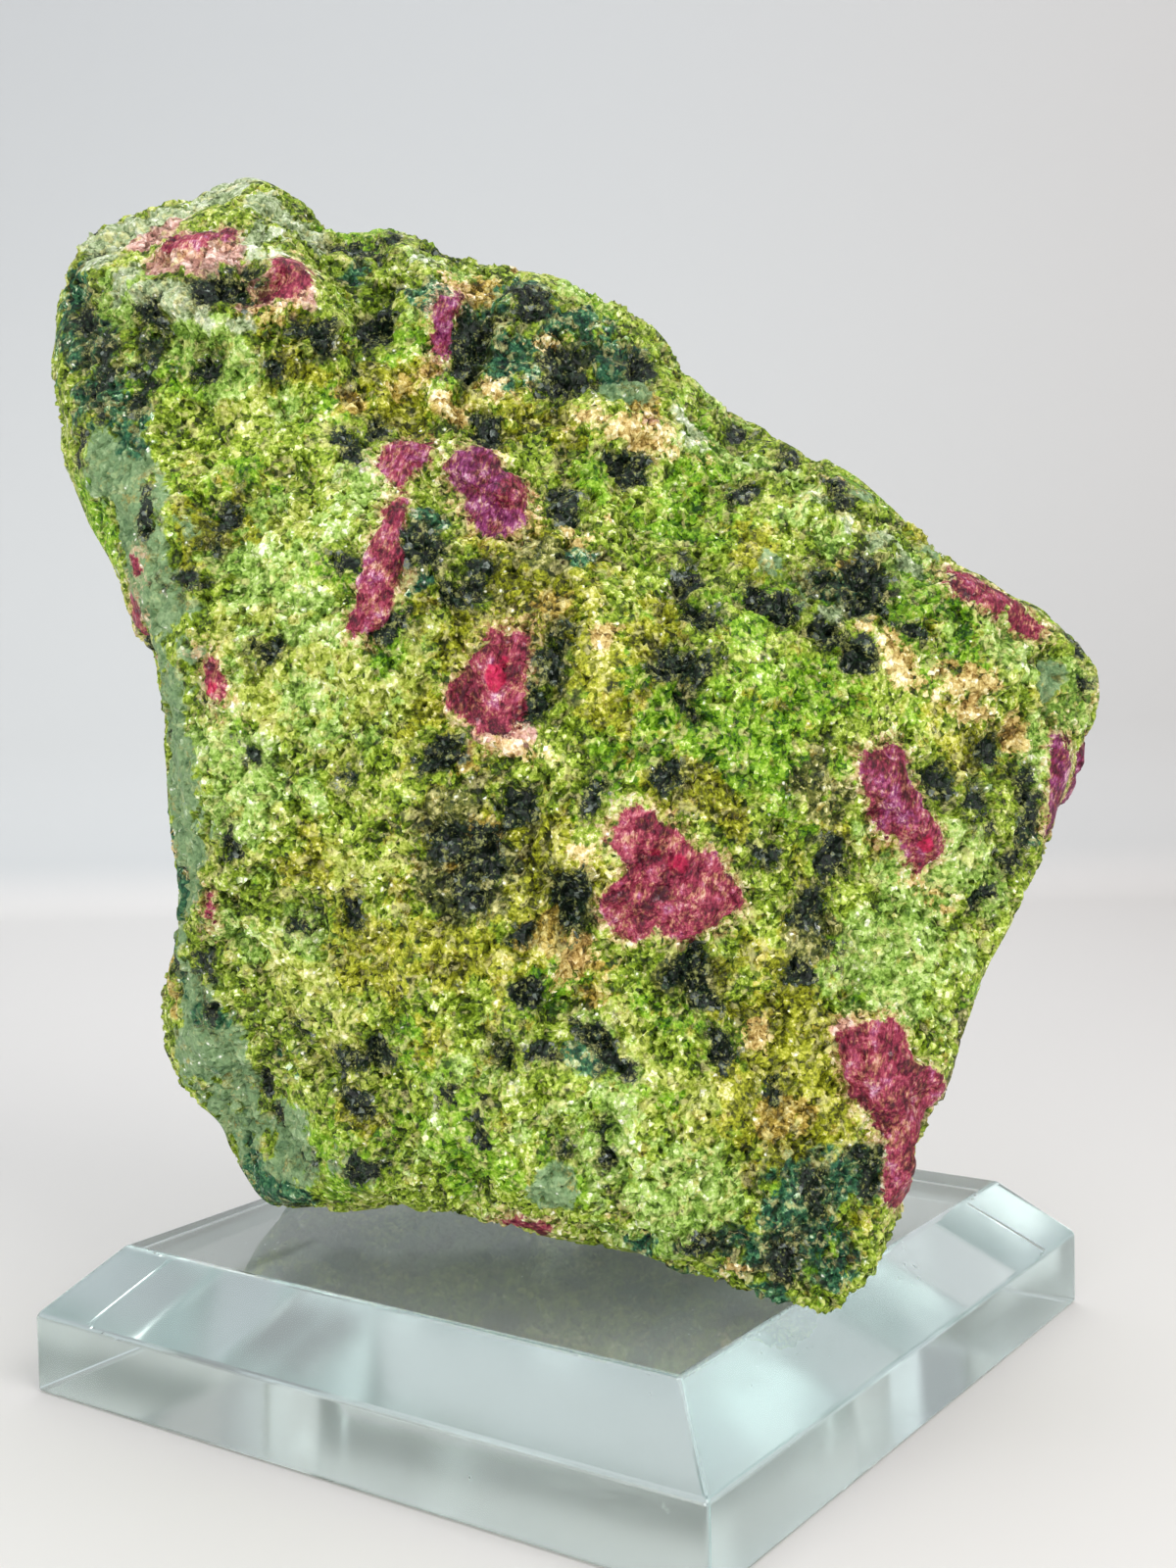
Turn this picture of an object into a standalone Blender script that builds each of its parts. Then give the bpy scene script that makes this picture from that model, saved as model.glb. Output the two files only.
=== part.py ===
"""A rough block of ruby in zoisite standing on a square glass display base.

Two loose pieces, one above the other: glass_base, a slab with ground edges, and stone, one
broken block of green zoisite with ruby and hornblende crystals grown in it. Metres, +Z up,
origin at the centre of the base's underside, X and Y along the base's sides.
"""

from math import cos, exp, pi, radians, sin

import bmesh
import bpy
from mathutils import Matrix, Vector, noise

MM = 0.001

# Glass base
BASE_SIDE = 80 * MM
BASE_WALL = 8 * MM  # height of the upright sides, under the slope
BASE_SLOPE = 6.5 * MM  # the 45 degree slope's run, and its rise
BASE_ARRIS = 0.75 * MM  # ground flat on the upright corners and the lower edges
BASE_HEIGHT = BASE_WALL + BASE_SLOPE
BASE_TOP_SIDE = BASE_SIDE - 2 * BASE_SLOPE

# Stone. It is shaped facing -Y, in millimetres, then turned on the base.
STONE_TURN = radians(35)
STONE_GAP = 0.3 * MM  # between the stone's foot and the glass
STONE_FOOT = (BASE_HEIGHT + STONE_GAP) / MM
NEAR_GLASS = 22  # faces all below this are cut where they pass the glass's edges
SLOPE_GAP = 0.8  # how far the stone may follow the glass's slope down, as a share of its fall
CORE = (-2.0, 64.0)  # x and z of the middle of the stone's broad face
FACE_DEPTH = -31.0  # y of the broad face's middle
REAR_DEPTH = 29.0  # y of the back's middle
FACE_RINGS = (0.72, 0.42)  # loops on the broad face and the back, as shares of their edge
DOMED = 1.6  # how soon the face swells from its edge to its middle
FAR = 200  # outside the stone on every side

SMOOTH_LEVELS = 3
CORNER_ROUNDS = 3  # how often the rounded block is brought back to its corners
SWELL_FADE = 1.5  # how soon swells fade where the surface turns away from Y
VOXEL = 1.05 * MM  # size at which the crystals are fused with the block
STONE_TRIANGLES = 9000

# Crystals
CRYSTAL_DEPTH = 5 * MM  # from a crystal's flat top to its root inside the stone
RUBY_ROOT = 1.25  # a ruby's width at its root and at its top, as shares of its stated width
RUBY_TOP = 0.85
HORNBLENDE_STEPS = ((1.0, 0.55 * MM), (0.6, 0.9 * MM))  # each step's width share and height
HORNBLENDE_LENGTH = 1.25  # as a share of its width
HORNBLENDE_TURN = 37  # degrees from one to the next

# The outline of the stone, clockwise from the upper left knob: x and z, then the loops
# at the front edge, the girdle and the rear edge, each as its inset towards CORE and its y.
OUTLINE = (
    # name               x      z      front        girdle      rear
    ("knob corner",     -50.8, 119.6, (8.5, -9),   (0, 7),     (8, 17)),
    ("knob top",        -40.5, 123.4, (9.5, -12),  (0, 6),     (9, 19)),
    ("peak",            -31.5, 125.0, (10.5, -11), (0, 4),     (10, 20)),
    ("saddle",          -23.4, 118.6, (8.5, -8),   (0, 3),     (9, 21)),
    ("crest start",     -18.4, 119.2, (8.5, -9),   (0, 3),     (10, 22)),
    ("crest left",      -12.0, 117.2, (8.5, -10),  (0, 3),     (10, 23)),
    ("crest",           -1.0,  113.8, (8.0, -12),  (0, 3),     (11, 25)),
    ("crest right",     9.6,   107.8, (7.0, -13),  (0, 2),     (11, 25)),
    ("notch",           15.3,  99.8,  (6.0, -13),  (0, 2),     (10, 24)),
    ("shoulder",        29.2,  92.6,  (5.5, -16),  (0, 1),     (10, 21)),
    ("shoulder end",    38.8,  83.4,  (4.5, -17),  (0, 0),     (9, 17)),
    ("right corner top", 48.2, 76.8,  (3.5, -16),  (0, -1),    (7, 12)),
    ("right corner",    52.8,  69.4,  (2.5, -15),  (0, -3),    (7, 9)),
    ("right notch",     49.2,  61.4,  (1.5, -17),  (0.5, -4),  (5, 9)),
    ("right ledge",     46.0,  53.2,  (1.0, -19),  (1, -5),    (4, 10)),
    ("right side",      40.6,  44.8,  (1.5, -22),  (1.5, -6),  (4, 12)),
    ("right side low",  36.2,  34.4,  (2.0, -25),  (2, -6),    (4, 14)),
    ("right foot top",  33.0,  25.8,  (2.0, -27),  (2, -6),    (3, 15)),
    ("right foot",      29.8,  18.4,  (1.5, -28),  (1, -5),    (1, 15)),
    ("tip",             21.6,  13.0,  (0.0, -32),  (1, -4),    (0, 16)),
    ("front edge right", 9.0,  18.0,  (0.0, -29),  (-2.9, -2), (-1.5, 17)),
    ("front edge",      -6.0,  20.4,  (0.0, -25),  (-5.5, 0),  (-3.5, 18)),
    ("front edge left", -18.6, 22.2,  (0.0, -19),  (-6.0, 3),  (-4, 20)),
    ("left foot",       -30.8, 19.2,  (0.0, -12),  (-3.0, 6),  (-2, 20)),
    ("left foot side",  -36.4, 23.0,  (2.5, -8),   (0, 9),     (1, 20)),
    ("lobe foot",       -43.8, 27.0,  (5.0, -8),   (0, 12),    (2, 22)),
    ("lobe",            -46.4, 36.4,  (8.0, -12),  (0, 14),    (4, 24)),
    ("waist low",       -43.2, 46.6,  (6.0, -17),  (0, 9),     (3, 25)),
    ("waist",           -43.0, 58.0,  (6.5, -20),  (0, 6),     (3, 26)),
    ("waist high",      -43.4, 71.8,  (6.5, -20),  (0, 6),     (4, 25)),
    ("flank",           -47.6, 85.0,  (7.5, -18),  (0, 6),     (5, 23)),
    ("flank high",      -53.0, 97.0,  (8.5, -15),  (0, 7),     (7, 21)),
    ("knob side",       -53.0, 109.2, (9.0, -12),  (0, 8),     (8, 19)),
)

# Broad swells and hollows: x, z, half width, half height, turn in degrees, and height.
FRONT_SWELLS = (
    ("knob brow",       -36, 108, 15, 7, -25, 2.5),
    ("hollow under the knob", -20, 98, 15, 9, -20, -4.5),
    ("groove under the crest", 0, 101, 4, 10, -20, -3.0),
    ("shelf",           16, 86, 16, 6, -20, -3.0),
    ("ledge",           34, 75, 18, 5, -22, 1.6),
    ("hollow under the ledge", 36, 65, 14, 6, -15, -1.2),
    ("middle swell",    12, 66, 16, 8, -25, 2.6),
    ("ruby pocket",     -10, 71, 8, 6, 0, -2.4),
    ("left shoulder",   -28, 62, 12, 16, 10, 2.8),
    ("belly",           -14, 38, 20, 12, -10, 3.0),
    ("belly hollow",    4, 48, 9, 6, 30, -1.8),
    ("foot swell",      10, 30, 16, 7, -15, 0.8),
)
REAR_SWELLS = (
    ("rear ridge",      -8, 72, 34, 9, 50, 4.5),
    ("rear scar",       20, 84, 16, 12, -30, -5.0),
    ("rear hollow",     -26, 46, 14, 12, 20, -4.0),
    ("rear heel",       6, 26, 26, 9, 0, 3.0),
    ("rear knob hollow", -38, 104, 9, 9, 0, -2.5),
)

# Flat faces along which the rock has split: a point on each, and the way it faces.
CLEAVED = (
    ("knob top",        (-40, 4, 123.4), (-0.24, -0.54, 0.84)),
    ("rear knob",       (-41, 18.5, 113), (-0.50, 0.70, 0.50)),
    ("rear upper",      (14, 20, 92), (0.30, 0.80, 0.52)),
    ("rear middle",     (0, 26.5, 60), (0.10, 0.99, -0.05)),
    ("rear low left",   (-32, 21.5, 40), (-0.55, 0.82, -0.15)),
    ("rear low right",  (26, 17, 42), (0.60, 0.78, -0.15)),
)

# Ruby crystals that stand out of the surface: x and z (on the right and left, y and z), half
# width, half length, turn in degrees, the side they are on, and how far they stand out.
RUBIES = (
    ("knob patch",      -36.6, 115.0, 4.2, 3.4, 10, "front", 0.7),
    ("knob small",      -25.5, 110.8, 2.2, 2.6, 25, "front", 0.9),
    ("crest sliver",    -11.2, 107.1, 1.2, 3.4, -10, "front", 0.8),
    ("upper left",      -14.8, 93.3, 2.0, 3.0, -40, "front", 1.1),
    ("upper right",     -7.1, 89.8, 3.0, 4.0, 30, "front", 1.2),
    ("sliver",          -16.7, 82.4, 1.6, 5.6, -14, "front", 1.1),
    ("pocket crystal",  -7.3, 71.2, 2.8, 4.4, -12, "front", 1.1),
    ("left edge",       -32.4, 72.3, 1.3, 2.3, 20, "front", 1.0),
    ("middle bar",      7.5, 56.3, 2.6, 4.2, 45, "front", 1.3),
    ("middle block",    11.4, 51.8, 3.2, 3.8, 20, "front", 1.6),
    ("middle lobe",     5.9, 52.2, 2.6, 2.6, -30, "front", 1.2),
    ("right block",     30.6, 59.5, 2.8, 6.0, 33, "front", 1.7),
    ("right edge",      -9, 60.5, 3.2, 4.6, 10, "right", 1.6),
    ("left edge small", -6, 78.0, 2.6, 2.6, 0, "left", 0.6),
    ("top edge",        40.0, 78.6, 1.2, 4.4, 64, "front", 1.0),
    ("lower right",     28.3, 35.4, 3.2, 5.4, 20, "front", 1.4),
    ("lower right foot", 29.6, 28.2, 2.2, 4.6, -5, "front", 1.1),
    ("rear large",      14, 58, 6.0, 8.5, -30, "rear", 1.6),
    ("rear upper",      -18, 92, 3.6, 6.0, 25, "rear", 1.4),
    ("rear low",        -30, 34, 3.2, 5.4, 60, "rear", 1.3),
    ("rear corner",     32, 68, 2.6, 4.0, 10, "rear", 1.4),
    ("rear sliver",     -6, 36, 1.7, 6.2, -70, "rear", 1.2),
)

# Hornblende crystals stand out as small stepped blocks: x, z, half size and side.
HORNBLENDES = (
    (-2.7, 108.4, 2.4, "front"), (0.5, 101.3, 2.4, "front"), (-22.4, 105.0, 2.0, "front"),
    (-39.6, 107.2, 1.8, "front"), (-31.6, 109.8, 2.4, "front"), (28.6, 80.0, 3.4, "front"),
    (-12.7, 84.2, 2.0, "front"), (-9.7, 55.7, 3.4, "front"), (-11.4, 65.2, 2.2, "front"),
    (-0.2, 51.8, 2.6, "front"), (11.1, 44.8, 2.6, "front"), (18.2, 20.8, 2.2, "front"),
    (10.8, 21.8, 1.8, "front"), (26.4, 24.8, 1.6, "front"), (38.4, 58.9, 2.2, "front"),
    (-20.7, 36.9, 2.4, "front"), (-20.3, 25.3, 1.8, "front"), (-27.6, 75.0, 1.8, "front"),
    (10.0, 73.0, 2.4, "front"), (8.0, 102.0, 2.0, "front"), (26.2, 88.0, 1.6, "front"),
    (2.0, 84.0, 4.2, "rear"), (24.0, 44.0, 3.4, "rear"), (-24.0, 64.0, 3.8, "rear"),
    (-12.0, 108.0, 2.8, "rear"), (10.0, 30.0, 3.0, "rear"), (-36.0, 82.0, 2.8, "rear"),
)

# Broken surface: the size of its facets or lumps, and how far they stand out.
COARSE_CHIPS = (13 * MM, 1.15 * MM)
FINE_CHIPS = (5.5 * MM, 0.5 * MM)
LUMPS = (4 * MM, 0.35 * MM)
TILT_SEED = 31


def clear_scene():
    for obj in list(bpy.data.objects):
        bpy.data.objects.remove(obj, do_unlink=True)


def material(name, colour, roughness, transmission=0.0):
    mat = bpy.data.materials.new(name)
    mat.use_nodes = True
    shader = mat.node_tree.nodes["Principled BSDF"]
    shader.inputs["Base Color"].default_value = (*colour, 1)
    shader.inputs["Roughness"].default_value = roughness
    shader.inputs["Metallic"].default_value = 0.0
    shader.inputs["IOR"].default_value = 1.52 if transmission else 1.65
    shader.inputs["Transmission Weight"].default_value = transmission
    return mat


def object_from(bm, name, mat):
    mesh = bpy.data.meshes.new(name)
    bm.to_mesh(mesh)
    bm.free()
    mesh.materials.append(mat)
    obj = bpy.data.objects.new(name, mesh)
    bpy.context.scene.collection.objects.link(obj)
    return obj


# Glass base -----------------------------------------------------------------


def cut_flat(bm, point, normal):
    """Grinds off what lies beyond the plane and closes the cut."""
    everything = bm.verts[:] + bm.edges[:] + bm.faces[:]
    cut = bmesh.ops.bisect_plane(
        bm, geom=everything, plane_co=point, plane_no=normal, clear_outer=True
    )
    rim = [g for g in cut["geom_cut"] if isinstance(g, bmesh.types.BMEdge)]
    bmesh.ops.edgenet_fill(bm, edges=rim)


def make_glass_base():
    half = BASE_SIDE / 2
    bm = bmesh.new()
    bmesh.ops.create_cube(bm, size=1)
    bmesh.ops.scale(bm, verts=bm.verts, vec=(BASE_SIDE, BASE_SIDE, BASE_HEIGHT))
    bmesh.ops.translate(bm, verts=bm.verts, vec=(0, 0, BASE_HEIGHT / 2))
    quarter_turns = [Matrix.Rotation(k * pi / 2, 3, "Z") for k in range(4)]
    for turn in quarter_turns:
        slope_foot = turn @ Vector((half, 0, BASE_WALL))
        cut_flat(bm, slope_foot, turn @ Vector((1, 0, 1)))
    for turn in quarter_turns:
        corner = turn @ Vector((half - BASE_ARRIS, half, 0))
        cut_flat(bm, corner, turn @ Vector((1, 1, 0)))
        lower_edge = turn @ Vector((half - BASE_ARRIS, 0, 0))
        cut_flat(bm, lower_edge, turn @ Vector((1, 0, -1)))
    bmesh.ops.recalc_face_normals(bm, faces=bm.faces)
    glass = material("glass", (0.80, 0.90, 0.88), 0.03, transmission=1.0)
    return object_from(bm, "glass_base", glass)


# Stone ----------------------------------------------------------------------


def towards_core(x, z, inset):
    """The point x, z moved towards CORE by inset, in millimetres."""
    away = Vector((x - CORE[0], z - CORE[1]))
    away.length = max(away.length - inset, 0.1)
    return CORE[0] + away.x, CORE[1] + away.y


def edge_loops():
    """The rear edge, girdle and front edge of the stone, as lists of points in millimetres."""
    loops = []
    for column in (5, 4, 3):
        loop = []
        for station in OUTLINE:
            inset, y = station[column]
            x, z = towards_core(station[1], station[2], inset)
            loop.append(Vector((x, y, max(z, STONE_FOOT) if column > 3 else z)))
        loops.append(loop)
    return loops


def swollen(edge, share, middle_depth):
    """A loop on the broad face or the back, inside its edge, on the way to its middle."""
    rise = 1 - share**DOMED
    return [
        Vector((
            CORE[0] + (p.x - CORE[0]) * share,
            p.y + (middle_depth - p.y) * rise,
            CORE[1] + (p.z - CORE[1]) * share,
        ))
        for p in edge
    ]


def make_cage():
    """The block's few corners, from the middle of the back to the middle of the face."""
    rear, girdle, front = edge_loops()
    rear_rings = [swollen(rear, share, REAR_DEPTH) for share in reversed(FACE_RINGS)]
    face_rings = [swollen(front, share, FACE_DEPTH) for share in FACE_RINGS]
    bm = bmesh.new()
    rings = []
    for loop in (*rear_rings, rear, girdle, front, *face_rings):
        verts = [bm.verts.new(p * MM) for p in loop]
        count = len(verts)
        rings.append([bm.edges.new((verts[i], verts[(i + 1) % count])) for i in range(count)])
    for first, second in zip(rings, rings[1:]):
        bmesh.ops.bridge_loops(bm, edges=first + second)
    for ring, depth in ((rings[0], REAR_DEPTH), (rings[-1], FACE_DEPTH)):
        cap = bmesh.ops.contextual_create(bm, geom=ring)["faces"]
        middle = bmesh.ops.poke(bm, faces=cap)["verts"][0]
        middle.co = Vector((CORE[0], depth, CORE[1])) * MM
    bmesh.ops.recalc_face_normals(bm, faces=bm.faces)
    return bm


def swell_at(x, z, swells):
    """How far the named swells and hollows push the surface out at x, z, in millimetres."""
    height = 0.0
    for _, at_x, at_z, half_width, half_height, turn, rise in swells:
        c, s = cos(radians(turn)), sin(radians(turn))
        across = ((x - at_x) * c + (z - at_z) * s) / half_width
        along = ((z - at_z) * c - (x - at_x) * s) / half_height
        height += rise * exp(-across * across - along * along)
    return height


def add_swells(obj):
    """Pushes the broad face and the back in and out, fading to nothing at the girdle."""
    bm = bmesh.new()
    bm.from_mesh(obj.data)
    for v in bm.verts:
        swells = FRONT_SWELLS if v.normal.y < 0 else REAR_SWELLS
        facing = min(1.0, abs(v.normal.y) * SWELL_FADE)
        out = 1 if v.normal.y > 0 else -1
        v.co.y += out * facing * swell_at(v.co.x / MM, v.co.z / MM, swells) * MM
    bm.to_mesh(obj.data)
    bm.free()


def split_along_faces(obj):
    """Takes off what lies beyond each flat face, except close to the glass."""
    for _, point, facing in CLEAVED:
        middle, out = Vector(point) * MM, Vector(facing).normalized()
        for v in obj.data.vertices:
            beyond = (v.co - middle).dot(out)
            if beyond > 0:
                v.co -= out * beyond


def rounded_through_corners(obj):
    """Rounds the cage into a surface that still passes through the cage's corners.

    The rounding draws each corner in, so the corners are first moved out by as much.
    """
    modifier = obj.modifiers.new("Rounding", "SUBSURF")
    modifier.levels = modifier.render_levels = SMOOTH_LEVELS
    wanted = [v.co.copy() for v in obj.data.vertices]
    for _ in range(CORNER_ROUNDS):
        graph = bpy.context.evaluated_depsgraph_get()
        drawn_in = [v.co.copy() for v in obj.evaluated_get(graph).data.vertices]
        for v, target, reached in zip(obj.data.vertices, wanted, drawn_in):
            v.co += target - reached
        obj.data.update()
        obj.update_tag()
        bpy.context.view_layer.update()
    apply_modifiers(obj)


def apply_modifiers(obj):
    """Replaces the object's mesh with what its modifiers make of it."""
    graph = bpy.context.evaluated_depsgraph_get()
    made = bpy.data.meshes.new_from_object(obj.evaluated_get(graph))
    obj.modifiers.clear()
    obj.data = made


def surface_point(block, along, z, side):
    """Where a line from one side meets the block, and the surface's direction there."""
    start = {
        "front": (along, -FAR, z),
        "rear": (along, FAR, z),
        "right": (FAR, along, z),
        "left": (-FAR, along, z),
    }[side]
    ahead = {"front": (0, 1, 0), "rear": (0, -1, 0), "right": (-1, 0, 0), "left": (1, 0, 0)}[side]
    _, place, normal, _ = block.ray_cast(Vector(start) * MM, Vector(ahead))
    return place, normal


def seat(place, normal, turn):
    """The matrix that lays a crystal on the surface with its long axis up the stone."""
    out = normal.normalized()
    up = Vector((0, 0, 1))
    side = up.cross(out).normalized()
    up = out.cross(side)
    basis = Matrix((side, up, out)).transposed().to_4x4()
    return Matrix.Translation(place) @ basis @ Matrix.Rotation(radians(turn), 4, "Z")


def add_ruby(bm, frame, half_width, half_length, proud):
    """A six-sided crystal with a flat top, which narrows upwards and is sunk in the stone."""
    made = bmesh.ops.create_cone(
        bm, cap_ends=True, segments=6, radius1=RUBY_ROOT, radius2=RUBY_TOP, depth=1,
        matrix=Matrix.Identity(4),
    )["verts"]
    stretch = Matrix.Diagonal((half_width * MM, half_length * MM, CRYSTAL_DEPTH, 1))
    sink = Matrix.Translation((0, 0, proud * MM - CRYSTAL_DEPTH / 2))
    bmesh.ops.transform(bm, matrix=frame @ sink @ stretch, verts=made)


def add_hornblende(bm, frame, half_size):
    """A short block with a stepped top, which stands a little out of the stone."""
    for share, proud in HORNBLENDE_STEPS:
        made = bmesh.ops.create_cube(bm, size=1)["verts"]
        width = half_size * 2 * share * MM
        stretch = Matrix.Diagonal((width, width * HORNBLENDE_LENGTH, CRYSTAL_DEPTH, 1))
        sink = Matrix.Translation((0, 0, proud - CRYSTAL_DEPTH / 2))
        bmesh.ops.transform(bm, matrix=frame @ sink @ stretch, verts=made)


def crystal_seats(block):
    """The place of each crystal on the block, before its surface is broken up."""
    seats = []
    for _, along, z, _, _, turn, side, _ in RUBIES:
        seats.append(seat(*surface_point(block, along, z, side), turn))
    for number, (along, z, _, side) in enumerate(HORNBLENDES):
        seats.append(seat(*surface_point(block, along, z, side), HORNBLENDE_TURN * number))
    return seats


def add_crystals(block, seats):
    """Sets the crystals in the block, as closed shells that the fusing then joins to it."""
    bm = bmesh.new()
    bm.from_mesh(block.data)
    for (_, _, _, half_width, half_length, _, _, proud), frame in zip(RUBIES, seats):
        add_ruby(bm, frame, half_width, half_length, proud)
    for (_, _, half_size, _), frame in zip(HORNBLENDES, seats[len(RUBIES):]):
        add_hornblende(bm, frame, half_size)
    bm.to_mesh(block.data)
    bm.free()


def chip_height(point, size):
    """Height of a broken surface: flat facets of one size, each tilted its own way."""
    scaled = point / size
    middle = noise.voronoi(scaled)[1][0]
    tilt = noise.cell_vector(middle * TILT_SEED) * 2 - Vector((1, 1, 1))
    return (scaled - middle).dot(tilt)


def break_surface(obj):
    """Moves each point along its normal, for the facets and lumps of broken rock."""
    bm = bmesh.new()
    bm.from_mesh(obj.data)
    bm.normal_update()
    moves = []
    for v in bm.verts:
        out = LUMPS[1] * noise.noise(v.co / LUMPS[0])
        for size, rise in (COARSE_CHIPS, FINE_CHIPS):
            out += rise * chip_height(v.co, size)
        moves.append(v.normal * out)
    for v, move in zip(bm.verts, moves):
        v.co += move
    bm.to_mesh(obj.data)
    bm.free()


def fuse(obj):
    """Joins the crystals and the block in one closed skin."""
    modifier = obj.modifiers.new("Fusing", "REMESH")
    modifier.mode = "VOXEL"
    modifier.voxel_size = VOXEL
    apply_modifiers(obj)


def thin_out(obj, triangles):
    """Keeps the number of triangles that the form needs."""
    obj.data.calc_loop_triangles()
    modifier = obj.modifiers.new("Thinning", "DECIMATE")
    modifier.ratio = triangles / len(obj.data.loop_triangles)
    modifier.use_collapse_triangulate = True
    apply_modifiers(obj)


def cut_along_glass_edges(bm):
    """Gives the stone's low faces edges above those of the glass's flat top."""
    for side in range(4):
        outward = Matrix.Rotation(side * pi / 2 - STONE_TURN, 3, "Z") @ Vector((1, 0, 0))
        low_faces = [f for f in bm.faces if max(v.co.z for v in f.verts) < NEAR_GLASS * MM]
        low_edges = {e for f in low_faces for e in f.edges}
        low_verts = {v for f in low_faces for v in f.verts}
        bmesh.ops.bisect_plane(
            bm, geom=[*low_verts, *low_edges, *low_faces],
            plane_co=outward * BASE_TOP_SIDE / 2, plane_no=outward,
        )


def clear_of_glass(obj):
    """Keeps the stone just above the glass's flat top, and past its edge above the slope."""
    bm = bmesh.new()
    bm.from_mesh(obj.data)
    cut_along_glass_edges(bm)
    turn = Matrix.Rotation(STONE_TURN, 3, "Z")
    for v in bm.verts:
        on_base = turn @ v.co
        past_edge = max(abs(on_base.x), abs(on_base.y)) - BASE_TOP_SIDE / 2
        lowest = STONE_FOOT * MM - max(0.0, past_edge) * SLOPE_GAP
        v.co.z = max(v.co.z, lowest)
    bm.to_mesh(obj.data)
    bm.free()


def make_stone():
    zoisite = material("zoisite", (0.30, 0.42, 0.14), 0.55)
    stone = object_from(make_cage(), "stone", zoisite)
    rounded_through_corners(stone)
    add_swells(stone)
    split_along_faces(stone)
    bpy.context.view_layer.update()
    crystals = crystal_seats(stone)
    break_surface(stone)
    add_crystals(stone, crystals)
    fuse(stone)
    thin_out(stone, STONE_TRIANGLES)
    clear_of_glass(stone)
    stone.rotation_euler = (0, 0, STONE_TURN)
    return stone


clear_scene()
make_glass_base()
make_stone()
bpy.context.view_layer.update()
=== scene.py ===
import itertools
import math

import bmesh
import bpy
import numpy as np
from mathutils import Matrix, Vector
from mathutils.bvhtree import BVHTree


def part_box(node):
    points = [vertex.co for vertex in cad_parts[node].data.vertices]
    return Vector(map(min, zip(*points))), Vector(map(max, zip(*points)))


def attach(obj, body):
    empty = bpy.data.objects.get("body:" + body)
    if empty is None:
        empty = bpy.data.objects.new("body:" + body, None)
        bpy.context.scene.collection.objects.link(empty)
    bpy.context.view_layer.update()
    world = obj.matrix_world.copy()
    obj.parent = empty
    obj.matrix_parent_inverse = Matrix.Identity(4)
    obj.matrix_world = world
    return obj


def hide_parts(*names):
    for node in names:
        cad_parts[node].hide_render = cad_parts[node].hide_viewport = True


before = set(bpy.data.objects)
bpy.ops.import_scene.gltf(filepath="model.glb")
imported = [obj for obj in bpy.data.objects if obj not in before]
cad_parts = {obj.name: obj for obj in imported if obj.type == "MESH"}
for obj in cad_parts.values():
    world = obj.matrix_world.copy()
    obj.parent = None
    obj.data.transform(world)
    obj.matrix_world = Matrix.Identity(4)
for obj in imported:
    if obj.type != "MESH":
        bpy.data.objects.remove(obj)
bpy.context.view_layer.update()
mm = 0.001


def tone(red, green, blue):
    # a colour as read off a screen, 0 to 255, turned into the linear values that shaders use
    parts = [c / 255 for c in (red, green, blue)]
    return tuple(c / 12.92 if c <= 0.04045 else ((c + 0.055) / 1.055) ** 2.4 for c in parts) + (1.0,)


def stops(places, *colours):
    # a ramp's colours, from the darkest to the lightest
    return [(place, tone(*colour)) for place, colour in zip(places, colours)]


def fromBmesh(bm, name):
    mesh = bpy.data.meshes.new(name)
    bm.to_mesh(mesh)
    bm.free()
    piece = bpy.data.objects.new(name, mesh)
    bpy.context.scene.collection.objects.link(piece)
    return piece


def read(items, name, width):
    values = np.zeros(len(items) * width, np.float32)
    items.foreach_get(name, values)
    return values.reshape(-1, width).astype(float)


def unit(vectors):
    return vectors / np.maximum(np.linalg.norm(vectors, axis=-1, keepdims=True), 1e-12)


def fade(values, start, end):
    t = np.clip((values - start) / (end - start), 0, 1)
    return t * t * (3 - 2 * t)


class Value:
    # a node's output that can be used in a sum
    def __init__(self, finish, socket):
        self.finish = finish
        self.socket = socket

    def __add__(self, other):
        return self.finish.sum("ADD", self, other)

    def __radd__(self, other):
        return self.finish.sum("ADD", other, self)

    def __sub__(self, other):
        return self.finish.sum("SUBTRACT", self, other)

    def __rsub__(self, other):
        return self.finish.sum("SUBTRACT", other, self)

    def __mul__(self, other):
        return self.finish.sum("MULTIPLY", self, other)

    def __rmul__(self, other):
        return self.finish.sum("MULTIPLY", other, self)


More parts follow.
